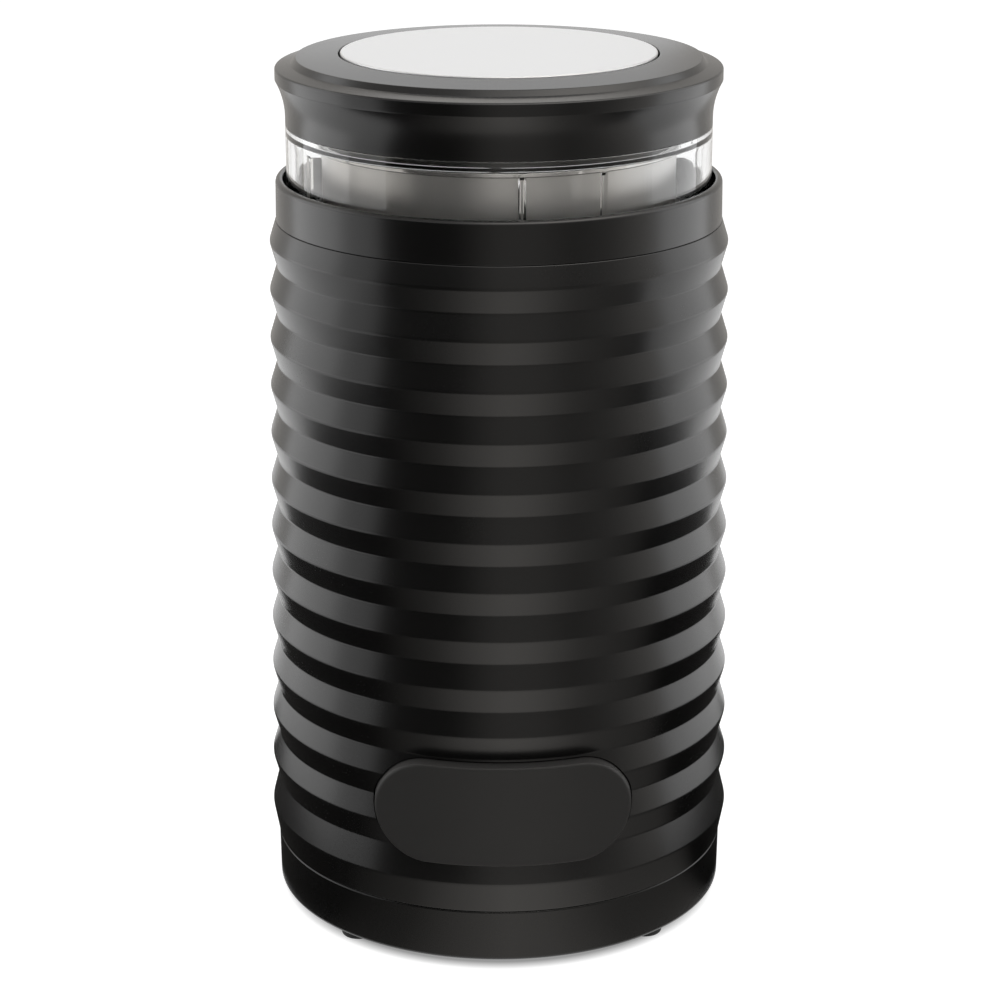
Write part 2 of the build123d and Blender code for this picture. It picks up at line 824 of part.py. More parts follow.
def blade_plan():
    """Two swept wings seen from above, the second turned half round from the first."""
    root = blade_root_width / 2
    middle = (blade_flat + blade_reach) / 2
    wing = [
        (0, -root),
        (blade_flat, -root),
        (middle, -root + blade_sweep / 2),
        (blade_reach, blade_sweep - blade_tip_width / 2),
        (blade_reach - 1, blade_sweep + blade_tip_width / 2),
        (middle, root + blade_sweep / 4),
        (blade_flat, root),
        (0, root),
    ]
    one = make_face(Polyline(*wing, close=True))
    whole = one + Rot(0, 0, 180) * one
    return fillet(whole.vertices().filter_by(lambda v: abs(v.X) > middle), 2)


def blade_side():
    """Blade seen from the side: flat middle, one wing bent up and the other down."""
    reach = blade_reach + 1
    lower = [(-reach, -blade_down), (-blade_flat, 0), (blade_flat, 0), (reach, blade_up)]
    upper = [(x, z + blade_sheet) for x, z in reversed(lower)]
    return make_face(Polyline(*(lower + upper), close=True))


def blade():
    """Bent two-wing blade with a hole for the shaft tip and ground leading edges."""
    reach = blade_root_width
    sheet = extrude(Plane.XZ.offset(-reach) * Pos(0, blade_z) * blade_side(), 2 * reach)
    low = blade_z - blade_down - 1
    plan = Pos(0, 0, low) * extrude(blade_plan(), blade_down + blade_up + blade_sheet + 2)
    wings = sheet & plan
    tops = wings.faces().filter_by(lambda f: f.normal_at().Z > 0.5 and abs(f.center().X) > blade_flat)
    leading = [e for f in tops for e in f.edges() if e.center().X * e.center().Y < -blade_flat]
    wings = chamfer(leading, blade_grind)
    return wings - post(shaft_tip_radius + press_gap, low, blade_top_z + 1)


def blade_nut():
    """Dome nut that clamps the blade on the shaft's shoulder."""
    high = blade_top_z + nut_height
    hexagon = RegularPolygon(nut_flats / 2, 6, major_radius=False)
    nut = Pos(0, 0, blade_top_z) * extrude(hexagon, nut_height)
    dome_corners = [
        (0, blade_top_z),
        (nut_flats, blade_top_z),
        (nut_flats * 0.6, high - nut_height / 3),
        (nut_flats * 0.36, high),
        (0, high),
    ]
    nut = nut & turned(section(dome_corners))
    return nut - post(shaft_tip_radius + press_gap, blade_top_z, high - 1)


# ---- lid ----
def clear_lid():
    """Clear cup turned upside down: wall, inner ledge, roof, neck, rod channel and locating ribs."""
    boss = post_radius + running_gap + post_wall
    corners = [
        (lid_inner, shelf_z),
        (lid_radius, shelf_z),
        (lid_radius, cap_z),
        (neck_radius, cap_z),
        (neck_radius, roof_top_z + neck_height),
        (ledge_inner, roof_top_z + neck_height),
        (ledge_inner, roof_top_z),
        (boss, roof_top_z),
        (boss, post_boss_z),
        (post_radius + running_gap, post_boss_z),
        (post_radius + running_gap, roof_top_z),
        (0, roof_top_z),
        (0, roof_z),
        (ledge_inner, roof_z),
        (ledge_inner, ledge_z),
        (lid_inner, ledge_z),
    ]
    rounds = [((lid_radius, shelf_z), seam_round)]
    cup = turned(section(corners, rounds))
    channel = rod_channel_radius
    channel_z = shelf_z + rod_channel_clear
    cup += post(channel, channel_z, roof_z, 0, rod_ring)
    cup += block((-channel, channel), (rod_ring, (lid_inner + lid_radius) / 2), (channel_z, ledge_z))
    rib = block(
        (-locating_rib_width / 2, locating_rib_width / 2),
        (-lid_inner - 0.3, locating_rib_depth - lid_inner),
        (shelf_z, shelf_z + locating_rib_height),
    )
    for i in range(4):
        cup += Rot(0, 0, locating_rib_turn + 90 * i) * rib
    cup -= post(rod_channel_bore, channel_z, roof_top_z, 0, rod_ring)
    notch = arm_width / 2 + fit_gap + button_gap
    return cup - block((-notch, notch), (rod_ring - 3, lid_radius), (roof_top_z, roof_top_z + neck_height))


def cap_ring():
    """Black cap: hollow flared skirt, upright rim, stepped top and the button's guide."""
    rim_low = top_z - rim_drop - rim_height
    rim_top = top_z - rim_drop
    plate_z = top_z - cap_plate_drop
    flare_start = (lid_radius, cap_z + cap_skirt_straight)
    flare = TangentArc(flare_start, (cap_radius, rim_low), tangent=(0, 1))
    outline = Polyline(
        (cap_radius, rim_low),
        (cap_radius, rim_top),
        (step_radius, rim_top + rim_ring_rise),
        (plateau_radius, top_z - plateau_drop),
        (button_bore, top_z),
        (button_bore, guide_low_z),
        (button_bore + guide_wall, guide_low_z),
        (button_bore + guide_wall, plate_z),
        (cap_inner, plate_z),
        (cap_inner, cap_z),
        (lid_radius, cap_z),
        flare_start,
    )
    face = make_face([flare, outline])
    rounds = [
        ((cap_radius, rim_top), rim_round),
        ((plateau_radius, top_z - plateau_drop), cap_edge_round),
        ((step_radius, rim_top + rim_ring_rise), cap_edge_round),
        ((button_bore, top_z), cap_edge_round),
    ]
    for corner, radius in rounds:
        nearest = face.vertices().sort_by_distance((corner[0], corner[1], 0))[0]
        face = fillet(nearest, radius)
    return turned(face)


# ---- push button and switch train ----
def button_disc():
    """Silver face of the push button."""
    corners = [(0, disc_z), (disc_radius, disc_z), (disc_radius, disc_top_z), (0, disc_top_z)]
    return turned(section(corners, [((disc_radius, disc_top_z), cap_edge_round)]))


def button_carrier():
    """Button body: plate, skirt with a stop flange, guide post and an arm out to the push rod."""
    skirt_inner = disc_radius - carrier_skirt_wall
    corners = [
        (0, disc_z),
        (0, post_end_z),
        (post_radius, post_end_z),
        (post_radius, carrier_z),
        (skirt_inner, carrier_z),
        (skirt_inner, flange_z),
        (disc_radius + carrier_flange_width, flange_z),
        (disc_radius + carrier_flange_width, flange_top_z),
        (disc_radius, flange_top_z),
        (disc_radius, disc_z),
    ]
    body = turned(section(corners))
    half = arm_width / 2
    arm_end = rod_ring + push_rod_radius + arm_rim
    body += block((-half, half), (disc_radius - carrier_skirt_wall / 2, arm_end), (flange_z, flange_top_z))
    return body - post(push_rod_radius + press_gap, flange_z, flange_top_z, 0, rod_ring)


def push_rod():
    """Rod from the carrier's arm down the lid's channel, headed at the top."""
    rod = post(push_rod_radius, push_rod_z, flange_top_z, 0, rod_ring)
    return rod + post(push_rod_head_radius, flange_top_z, flange_top_z + push_rod_head_height, 0, rod_ring)


def button_spring():
    """Return spring round the lid's guide boss, between roof and carrier."""
    spring = coil_spring(spring_radius, spring_wire, spring_turns, carrier_z - roof_top_z)
    return Pos(0, 0, roof_top_z) * spring


def switch_rod():
    """Spring-loaded rod in the collar's guide, with a toe over the switch lever."""
    flange_low = deck_top_z + rod_spring_length
    rod = post(switch_rod_radius, toe_z + toe_height / 2, rod_low_z, 0, rod_ring)
    rod += post(switch_rod_body_radius, flange_low, rod_guide_z - bolt_gap, 0, rod_ring)
    rod += post(rod_flange_radius, flange_low, flange_low + rod_flange_height, 0, rod_ring)
    toe = (lever_y - toe_reach, rod_ring + switch_rod_radius / 3)
    return rod + block((-toe_width / 2, toe_width / 2), toe, (toe_z, toe_z + toe_height))


def rod_spring():
    """Return spring between the deck and the switch rod's flange."""
    spring = coil_spring(rod_spring_radius, rod_spring_wire, rod_spring_turns, rod_spring_length)
    return Pos(0, rod_ring, deck_top_z) * spring


def lever_ear(y):
    """Ear on the switch that holds one end of the lever's pin."""
    half = lever_barrel + 0.4
    ear = block(
        (lever_pivot_x - half, lever_pivot_x + half),
        (y, y + ear_sheet),
        (switch_top_z, lever_pivot_z + lever_barrel + 0.3),
    )
    hole = Cylinder(lever_pin + running_gap, 2 * ear_sheet, rotation=(90, 0, 0))
    return ear - Pos(lever_pivot_x, y + ear_sheet / 2, lever_pivot_z) * hole


def microswitch():
    """Snap switch with lever ears and three terminals."""
    half = switch_length / 2
    outer_y = switch_inner_y + switch_width
    low = switch_top_z - switch_height
    body = block((-half, half), (switch_inner_y, outer_y), (low, switch_top_z))
    for x in (-half + terminal_width, 0, half - terminal_width):
        body += block(
            (x - terminal_width / 2, x + terminal_width / 2),
            (lever_y - terminal_sheet / 2, lever_y + terminal_sheet / 2),
            (low - terminal_length, low + 1),
        )
    body -= post(nub_radius + running_gap, switch_top_z - nub_depth, switch_top_z, nub_x, lever_y)
    reach = lever_width / 2 + bolt_gap
    return body + lever_ear(lever_y + reach) + lever_ear(lever_y - reach - ear_sheet)


def switch_lever():
    """Sheet lever on its pin, sloping up under the switch rod's toe."""
    half = lever_width / 2
    strip = block((0, lever_length), (-half, half), (-lever_sheet / 2, lever_sheet / 2))
    barrel = Cylinder(lever_barrel, lever_width, rotation=(90, 0, 0))
    pin = Cylinder(lever_pin, lever_width + 2 * (bolt_gap + ear_sheet), rotation=(90, 0, 0))
    return Pos(lever_pivot_x, lever_y, lever_pivot_z) * (Rot(0, -lever_angle, 0) * strip + barrel + pin)


def switch_button():
    """Small button of the microswitch under the lever."""
    return post(nub_radius, switch_top_z - nub_depth + nub_rise, switch_top_z + nub_rise, nub_x, lever_y)


pieces = {
    "base": base,
    "feet": feet,
    "base_screws": base_screws,
    "cord_gland": cord_gland,
    "housing": housing,
    "badge": badge,
    "collar": collar,
    "bowl": bowl,
    "bowl_seal": bowl_seal,
    "bowl_deck": bowl_deck,
    "shaft_bush": shaft_bush,
    "bush_nut": bush_nut,
    "lower_bracket": lower_bracket,
    "upper_bracket": upper_bracket,
    "lower_bearing": lambda: bearing(lower_plate_z),
    "upper_bearing": lambda: bearing(hub_low_z),
    "stator_core": stator_core,
    "field_coils": field_coils,
    "motor_bolts": motor_bolts,
    "rubber_mounts": rubber_mounts,
    "mount_screws": mount_screws,
    "brush_holders": brush_holders,
    "carbon_brushes": carbon_brushes,
    "brush_springs": brush_springs,
    "shaft": shaft,
    "armature_core": armature_core,
    "armature_windings": armature_windings,
    "commutator": commutator,
    "fan": fan,
    "blade": blade,
    "blade_nut": blade_nut,
    "clear_lid": clear_lid,
    "cap_ring": cap_ring,
    "button_disc": button_disc,
    "button_carrier": button_carrier,
    "button_spring": button_spring,
    "push_rod": push_rod,
    "switch_rod": switch_rod,
    "rod_spring": rod_spring,
    "microswitch": microswitch,
    "switch_lever": switch_lever,
    "switch_button": switch_button,
}

os.makedirs("parts", exist_ok=True)
for name, make in pieces.items():
    piece = make()
    solids = piece if isinstance(piece, list) else [piece]
    export_step(Compound(children=[s for part in solids for s in part.solids()]), f"parts/{name}.step")
    print(name, "written")
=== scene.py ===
import bmesh
import bpy
import numpy as np
from math import cos, pi, radians, sin
from mathutils import Matrix, Vector


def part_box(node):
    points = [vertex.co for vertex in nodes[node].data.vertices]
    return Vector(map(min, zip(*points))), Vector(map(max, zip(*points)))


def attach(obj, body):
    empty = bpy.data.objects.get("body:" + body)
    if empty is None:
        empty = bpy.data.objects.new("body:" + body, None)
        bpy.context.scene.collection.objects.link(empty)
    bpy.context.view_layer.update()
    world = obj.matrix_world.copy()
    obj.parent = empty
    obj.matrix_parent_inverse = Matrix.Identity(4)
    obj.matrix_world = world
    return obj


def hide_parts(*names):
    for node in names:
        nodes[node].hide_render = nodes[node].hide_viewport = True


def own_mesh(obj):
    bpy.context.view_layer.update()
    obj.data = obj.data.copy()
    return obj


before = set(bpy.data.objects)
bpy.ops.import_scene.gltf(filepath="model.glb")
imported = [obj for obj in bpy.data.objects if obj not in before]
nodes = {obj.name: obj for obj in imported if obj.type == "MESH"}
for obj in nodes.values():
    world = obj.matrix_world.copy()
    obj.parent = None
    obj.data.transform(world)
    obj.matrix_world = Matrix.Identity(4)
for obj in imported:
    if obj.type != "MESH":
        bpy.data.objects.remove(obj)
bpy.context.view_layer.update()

mm = 0.001
print("frame loaded,", len(nodes), "nodes")


# the corners of a node's box, in millimetres
def lowOf(node):
    return np.array(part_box(node)[0]) / mm


def highOf(node):
    return np.array(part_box(node)[1]) / mm


tableGap = lowOf("base")[2]  # the feet hold the base this far up
seamLow = highOf("base")[2]  # base meets housing
seamHigh = highOf("housing")[2]  # housing meets collar
collarTop = highOf("collar")[2]
shelf = lowOf("clear_lid")[2]  # the lid stands on this shelf inside the collar
lidRadius = highOf("clear_lid")[0]
capLow = lowOf("cap_ring")[2]
capTop = highOf("cap_ring")[2]
capRadius = highOf("cap_ring")[0]
discRadius = highOf("button_disc")[0]
discTop = highOf("button_disc")[2]
bowlRim = highOf("bowl")[2]
beadRadius = highOf("bowl")[0]
bowlRadius = beadRadius - 0.8  # outside of the bowl's wall, under its rolled bead
rodRing = (lowOf("push_rod")[1] + highOf("push_rod")[1]) / 2  # rods stand this far behind the axis
slipGap = 0.2  # round mouldings that slip together
runGap = 0.05  # round what slides or just touches
cutPast = 1.0  # cutters reach this far past what they cut
sharpAngle = 32.0


def gridFaces(rows, columns, closeRows):
    # quads between neighbouring rows and columns; the last column joins the first
    row, column = np.meshgrid(np.arange(rows if closeRows else rows - 1), np.arange(columns), indexing="ij")
    nextRow = (row + 1) % rows
    nextColumn = (column + 1) % columns
    corners = [row * columns + column, row * columns + nextColumn,
               nextRow * columns + nextColumn, nextRow * columns + column]
    return np.stack(corners, -1).reshape(-1, 4)


def roundedPath(corners, rounds, closed, steps=5):
    # a corner with a radius is replaced by an arc that touches both of its sides:
    # centre = corner + bisector * radius / sin(half angle), points turn evenly from one side to the other
    corners = np.array(corners, float)
    share = np.linspace(0, 1, steps + 1)[:, None]
    path = []
    for index, corner in enumerate(corners):
        radius = rounds.get(index, 0)
        isEnd = not closed and index in (0, len(corners) - 1)
        if radius == 0 or isEnd:
            path.append(corner[None])
            continue
        sides = [corners[index - 1] - corner, corners[(index + 1) % len(corners)] - corner]
        before, after = [side / np.linalg.norm(side) for side in sides]
        half = np.arccos(np.clip(before @ after, -1, 1)) / 2
        centre = corner + (before + after) / np.linalg.norm(before + after) * radius / sin(half)
        start = corner + before * radius / np.tan(half) - centre
        end = corner + after * radius / np.tan(half) - centre
        turn = pi - 2 * half
        arc = (start * np.sin((1 - share) * turn) + end * np.sin(share * turn)) / sin(turn)
        path.append(centre + arc)
    return np.concatenate(path)


def turnedPoints(profile, angles):
    # every (radius, height) of the profile carried round the Z axis
    radius = profile[:, 0][:, None]
    height = profile[:, 1][:, None] * np.ones(len(angles))
    return np.stack([radius * np.cos(angles), radius * np.sin(angles), height], -1)


def evenAngles(columns):
    return np.linspace(0, 2 * pi, columns, endpoint=False)


def newObject(name, data):
    made = bpy.data.objects.new(name, data)
    bpy.context.scene.collection.objects.link(made)
    return made


def closedMesh(name, points, faces):
    # millimetre points into a metre mesh; doubles at poles merge and the faces turn outwards
    mesh = bpy.data.meshes.new(name)
    mesh.from_pydata((points.reshape(-1, 3) * mm).tolist(), [], faces.tolist())
    shell = bmesh.new()
    shell.from_mesh(mesh)
    bmesh.ops.remove_doubles(shell, verts=shell.verts, dist=0.002 * mm)
    bmesh.ops.dissolve_degenerate(shell, edges=shell.edges, dist=0.001 * mm)
    bmesh.ops.recalc_face_normals(shell, faces=shell.faces)
    shell.to_mesh(mesh)
    shell.free()
    return mesh


def turnedMesh(name, corners, rounds=None, closed=True, columns=192, steps=5):
    profile = roundedPath(corners, rounds or {}, closed, steps)
    points = turnedPoints(profile, evenAngles(columns))
    return closedMesh(name, points, gridFaces(len(profile), columns, closed))


def prismMesh(name, outline, low, high):
    # a closed outline in X and Y carried from one height to the other, with its middle closed at both ends
    middle = np.broadcast_to(outline.mean(0), outline.shape)
    rings = [middle, outline, outline, middle]
    heights = [low, low, high, high]
    points = [np.column_stack([ring, np.full(len(ring), height)]) for ring, height in zip(rings, heights)]
    return closedMesh(name, np.concatenate(points), gridFaces(4, len(outline), False))


def circle(radius, x=0.0, y=0.0, count=48):
    angles = evenAngles(count)
    return np.column_stack([x + radius * np.cos(angles), y + radius * np.sin(angles)])


def stadium(halfLength, radius, count=24, along=2):
    # two half circles joined by straight sides along X, each side with its own row of points
    turn = np.linspace(-pi / 2, pi / 2, count)
    side = np.linspace(halfLength, -halfLength, along + 1)[1:-1]
    rightEnd = np.column_stack([halfLength + radius * np.cos(turn), radius * np.sin(turn)])
    topSide = np.column_stack([side, np.full(len(side), radius)])
    return np.concatenate([rightEnd, topSide, -rightEnd, -topSide])


def turnedBy(outline, angle, shift=(0.0, 0.0)):
    # an outline moved by shift, then turned about the origin
    x, y = (outline + np.array(shift)).T
    return np.column_stack([x * cos(angle) - y * sin(angle), x * sin(angle) + y * cos(angle)])


def cutAway(mesh, cutters):
    # takes the cutters out of the mesh with one Boolean each, and keeps the result
    holder = newObject("holder", mesh)
    tools = []
    for cutter in cutters:
        tool = newObject("cutter", cutter)
        cut = holder.modifiers.new("cut", "BOOLEAN")
        cut.operation = "DIFFERENCE"
        cut.solver = "EXACT"
        cut.object = tool
        tools.append(tool)
    bpy.context.view_layer.update()
    shown = holder.evaluated_get(bpy.context.evaluated_depsgraph_get())
    result = bpy.data.meshes.new_from_object(shown)
    for spare in [holder] + tools:
        bpy.data.objects.remove(spare)
    result.name = mesh.name
    return result


def addPiece(name, mesh, material, body, replaced=()):
    # a finished piece of the grinder, smooth but for edges over sharpAngle
    piece = newObject(name, mesh)
    mesh.materials.clear()
    mesh.materials.append(materials[material])
    mesh.shade_smooth()
    mesh.set_sharp_from_angle(angle=radians(sharpAngle))
    flatten = piece.modifiers.new("evenNormals", "WEIGHTED_NORMAL")
    flatten.keep_sharp = True
    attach(piece, body)
    if replaced:
        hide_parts(*replaced)
    return piece


def newGroup(name, inputs, outputs):
    # inputs and outputs give the label and kind of each socket
    group = bpy.data.node_groups.new(name, "ShaderNodeTree")
    for side, sockets in (("INPUT", inputs), ("OUTPUT", outputs)):
        for label, kind in sockets.items():
            group.interface.new_socket(label, in_out=side, socket_type="NodeSocket" + kind)
    return group, group.nodes.new("NodeGroupInput"), group.nodes.new("NodeGroupOutput")


def newNode(tree, kind):
    return tree.nodes.new("ShaderNode" + kind)


def feed(tree, socket, value):
    # a number is set on the socket, anything else is linked to it
    if isinstance(value, (int, float)):
        socket.default_value = value
    else:
        tree.links.new(value, socket)


def mathNode(tree, operation, *values, clamp=False):
    node = newNode(tree, "Math")
    node.operation = operation
    node.use_clamp = clamp
    for socket, value in zip(node.inputs, values):
        feed(tree, socket, value)
    return node.outputs[0]


def noiseNode(tree, vector, scale, detail=2.0, rough=0.5):
    node = newNode(tree, "TexNoise")
    tree.links.new(vector, node.inputs["Vector"])
    feed(tree, node.inputs["Scale"], scale)
    node.inputs["Detail"].default_value = detail
    node.inputs["Roughness"].default_value = rough
    return node.outputs["Fac"]


def shadeNode(tree, colour, value, share):
    # colour times 1 + share * (value - 0.5)
    lift = mathNode(tree, "MULTIPLY", mathNode(tree, "SUBTRACT", value, 0.5), share)
    factor = mathNode(tree, "ADD", lift, 1.0)
    node = newNode(tree, "VectorMath")
    node.operation = "SCALE"
    tree.links.new(colour, node.inputs[0])
    tree.links.new(factor, node.inputs["Scale"])
    return node.outputs[0]


surfaceInputs = {"Vector": "Vector", "Colour": "Color", "Shade": "Float", "Roughness": "Float",
                 "Spread": "Float"}
surfaceOutputs = {"Colour": "Color", "Roughness": "Float", "Height": "Float"}


def joinSurface(group, given, result, tint, wear, height):
    # colour = Colour * (1 + Shade * (tint - 0.5)), roughness = Roughness + Spread * (wear - 0.5)
    colour = shadeNode(group, given.outputs["Colour"], tint, given.outputs["Shade"])
    change = mathNode(group, "MULTIPLY", mathNode(group, "SUBTRACT", wear, 0.5), given.outputs["Spread"])
    gloss = mathNode(group, "ADD", given.outputs["Roughness"], change, clamp=True)
    group.links.new(colour, result.inputs["Colour"])
    group.links.new(gloss, result.inputs["Roughness"])
    group.links.new(height, result.inputs["Height"])


def blendNode(tree, first, second, share):
    # first * share + second * (1 - share)
    return mathNode(tree, "ADD", mathNode(tree, "MULTIPLY", first, share),
                    mathNode(tree, "MULTIPLY", second, 1 - share))


def makeMouldedGrain():
    # fine noise is the mould's texture, broad noise the slow change of colour and gloss over the surface
    inputs = {**surfaceInputs, "Fine": "Float", "Broad": "Float"}
    group, given, result = newGroup("mouldedGrain", inputs, surfaceOutputs)
    place = given.outputs["Vector"]
    fine = noiseNode(group, place, given.outputs["Fine"], 1.0)
    broad = noiseNode(group, place, given.outputs["Broad"], 3.0)
    joinSurface(group, given, result, broad, blendNode(group, fine, broad, 0.5), fine)
    return group


def makeTurnedLines():
    # noise read at (distance from the axis, height) only, so it makes rings and lathe lines round Z
    group, given, result = newGroup("turnedLines", {**surfaceInputs, "Lines": "Float"}, surfaceOutputs)
    parts = newNode(group, "SeparateXYZ")
    group.links.new(given.outputs["Vector"], parts.inputs[0])
    square = mathNode(group, "ADD", mathNode(group, "MULTIPLY", parts.outputs["X"], parts.outputs["X"]),
                      mathNode(group, "MULTIPLY", parts.outputs["Y"], parts.outputs["Y"]))
    place = newNode(group, "CombineXYZ")
    group.links.new(mathNode(group, "SQRT", square), place.inputs["X"])
    group.links.new(parts.outputs["Z"], place.inputs["Y"])
    lines = noiseNode(group, place.outputs[0], given.outputs["Lines"], 4.0, 0.6)
    cloud = noiseNode(group, given.outputs["Vector"], 60.0, 3.0)
    both = blendNode(group, lines, cloud, 0.65)
    joinSurface(group, given, result, both, both, lines)
    return group


def makeBands():
    # even bands along one direction: 0.5 + 0.5 * sin((Vector . Direction) * Count)
    inputs = {"Vector": "Vector", "Direction": "Vector", "Count": "Float"}
    group, given, result = newGroup("bands", inputs, {"Height": "Float"})
    along = newNode(group, "VectorMath")
    along.operation = "DOT_PRODUCT"
    group.links.new(given.outputs["Vector"], along.inputs[0])
    group.links.new(given.outputs["Direction"], along.inputs[1])
    turn = mathNode(group, "MULTIPLY", along.outputs["Value"], given.outputs["Count"])
    wave = mathNode(group, "SINE", turn)
    ridge = mathNode(group, "ADD", mathNode(group, "MULTIPLY", wave, 0.5), 0.5)
    group.links.new(ridge, result.inputs["Height"])
    return group


mouldedGrain = makeMouldedGrain()
turnedLines = makeTurnedLines()
bands = makeBands()


def newMaterial(name, effect, look):
    # one Principled shader fed by one shared effect; depth is the bump's height in millimetres
    material = bpy.data.materials.new(name)
    material.use_nodes = True
    tree = material.node_tree
    shader = tree.nodes["Principled BSDF"]
    place = newNode(tree, "TexCoord")
    placed = newNode(tree, "Group")
    placed.node_tree = effect
    tree.links.new(place.outputs["Object"], placed.inputs["Vector"])
    for label, value in look["effect"].items():
        placed.inputs[label].default_value = value
    for label, value in look["shader"].items():
        shader.inputs[label].default_value = value
    tree.links.new(placed.outputs["Colour"], shader.inputs["Base Color"])
    tree.links.new(placed.outputs["Roughness"], shader.inputs["Roughness"])
    bump = newNode(tree, "Bump")
    bump.inputs["Strength"].default_value = look["bump"]
    bump.inputs["Distance"].default_value = look["depth"] * mm
    tree.links.new(placed.outputs["Height"], bump.inputs["Height"])
    tree.links.new(bump.outputs["Normal"], shader.inputs["Normal"])
    return material, bump


def grey(value, warm=0.0):
    return (value * (1 + warm), value, value * (1 - warm), 1.0)


def surface(colour, shade, rough, spread, bump=0.1, depth=0.02, shader=None, **scales):
    # shade and spread are how far colour and roughness swing, scales the sizes of the effect's noise
    effect = {"Colour": colour, "Shade": shade, "Roughness": rough, "Spread": spread, **scales}
    return {"effect": effect, "shader": shader or {}, "bump": bump, "depth": depth}


plasticLooks = {
    # the black plastics' colours are lighter than their own: painted light that makes up for the weak light
    # on their fronts
    "housingPlastic": surface(grey(0.0055, 0.02), shade=0.5, rough=0.26, spread=0.08, bump=0.11, depth=0.016,
        Fine=2400, Broad=45),
    "blackPlastic": surface(grey(0.0055, 0.02), shade=0.5, rough=0.26, spread=0.07, depth=0.015, Fine=2400,
        Broad=45),
    "capPlastic": surface(grey(0.0055, 0.01), shade=0.5, rough=0.25, spread=0.06, depth=0.015, Fine=2400,
        Broad=50),
    # the badge's colour is well over its own: painted light that makes up for the weak light on its front
    "badgePlastic": surface(grey(0.072, 0.03), shade=0.15, rough=0.45, spread=0.05, bump=0.03, depth=0.01,
        shader={"Specular IOR Level": 0.15}, Fine=2200, Broad=60),
    "basePlastic": surface(grey(0.0055, 0.02), shade=0.5, rough=0.28, spread=0.07, depth=0.015,
        shader={"Specular IOR Level": 0.38}, Fine=2400, Broad=45),
    "footRubber": surface(grey(0.018), shade=0.6, rough=0.72, spread=0.2, bump=0.35, depth=0.03, Fine=1500,
        Broad=120),
    "glandRubber": surface(grey(0.014), shade=0.5, rough=0.6, spread=0.2, bump=0.3, depth=0.03, Fine=1500,
        Broad=120),
    "sealRubber": surface(grey(0.16), shade=0.3, rough=0.6, spread=0.15, bump=0.2, Fine=1500, Broad=120),
    "innerPlastic": surface(grey(0.03), shade=0.4, rough=0.45, spread=0.12, bump=0.15, depth=0.03, Fine=1500,
        Broad=60),
    "bushPlastic": surface(grey(0.07), shade=0.5, rough=0.42, spread=0.15, bump=0.15, Fine=2600, Broad=200),
    "bracketPlastic": surface((0.60, 0.57, 0.50, 1), shade=0.2, rough=0.5, spread=0.15, bump=0.2, depth=0.03,
        Fine=1800, Broad=90),
    "rodPlastic": surface((0.74, 0.73, 0.69, 1), shade=0.1, rough=0.35, spread=0.1, Fine=2000, Broad=90),
    "fanPlastic": surface((0.62, 0.60, 0.54, 1), shade=0.15, rough=0.4, spread=0.1, Fine=2000, Broad=70),
    "switchPlastic": surface(grey(0.045), shade=0.5, rough=0.4, spread=0.12, bump=0.15, Fine=2400,
        Broad=200),
    "switchButtonPlastic": surface((0.45, 0.05, 0.04, 1), shade=0.3, rough=0.35, spread=0.1, depth=0.01,
        Fine=3000, Broad=300),
    "brushCarbon": surface(grey(0.035), shade=0.8, rough=0.55, spread=0.3, bump=0.3, Fine=5000, Broad=500),
}
materials = {name: newMaterial(name, mouldedGrain, look)[0] for name, look in plasticLooks.items()}


metal = {"Metallic": 1.0}
metalLooks = {
    "silverDisc": surface(grey(0.91), shade=0.02, rough=0.28, spread=0.04, bump=0.02, depth=0.01,
        shader={"Metallic": 0.4}, Lines=1500),
    "bowlSteel": surface((0.80, 0.79, 0.775, 1), shade=0.10, rough=0.40, spread=0.10, bump=0.06,
        shader={"Metallic": 0.75}, Lines=2600),
    "bladeSteel": surface((0.64, 0.63, 0.62, 1), shade=0.15, rough=0.22, spread=0.10, bump=0.08,
        shader=metal, Lines=2200),
    "zincSteel": surface((0.50, 0.50, 0.48, 1), shade=0.3, rough=0.35, spread=0.2, shader=metal, Lines=1500),
    "shaftSteel": surface((0.50, 0.50, 0.51, 1), shade=0.2, rough=0.2, spread=0.15, shader=metal,
        Lines=4000),
    "springSteel": surface((0.45, 0.45, 0.45, 1), shade=0.2, rough=0.3, spread=0.15, shader=metal,
        Lines=2500),
    "bearingBronze": surface((0.50, 0.34, 0.18, 1), shade=0.4, rough=0.45, spread=0.2, bump=0.2,
        shader=metal, Lines=3000),
    "commutatorCopper": surface((0.72, 0.40, 0.24, 1), shade=0.3, rough=0.25, spread=0.15, bump=0.15,
        shader=metal, Lines=4000),
}
materials.update({name: newMaterial(name, turnedLines, look)[0] for name, look in metalLooks.items()})


def polishAbove(name, height, over, gloss):
    # above a height the roughness drops by gloss, over a short way up
    tree = materials[name].node_tree
    shader = tree.nodes["Principled BSDF"]
    rough = shader.inputs["Roughness"].links[0].from_socket
    parts = newNode(tree, "SeparateXYZ")
    tree.links.new(tree.nodes["Texture Coordinate"].outputs["Object"], parts.inputs[0])
    past = mathNode(tree, "SUBTRACT", parts.outputs["Z"], height * mm)
    share = mathNode(tree, "MULTIPLY", past, 1 / (over * mm), clamp=True)
    lower = mathNode(tree, "SUBTRACT", rough, mathNode(tree, "MULTIPLY", share, gloss), clamp=True)
    tree.links.new(lower, shader.inputs["Roughness"])


# the bowl's rolled bead is polished, the wall below it satin
beadPolish = {"below": 1.7, "over": 0.2, "gloss": 0.32}
polishAbove("bowlSteel", bowlRim - beadPolish["below"], beadPolish["over"], beadPolish["gloss"])


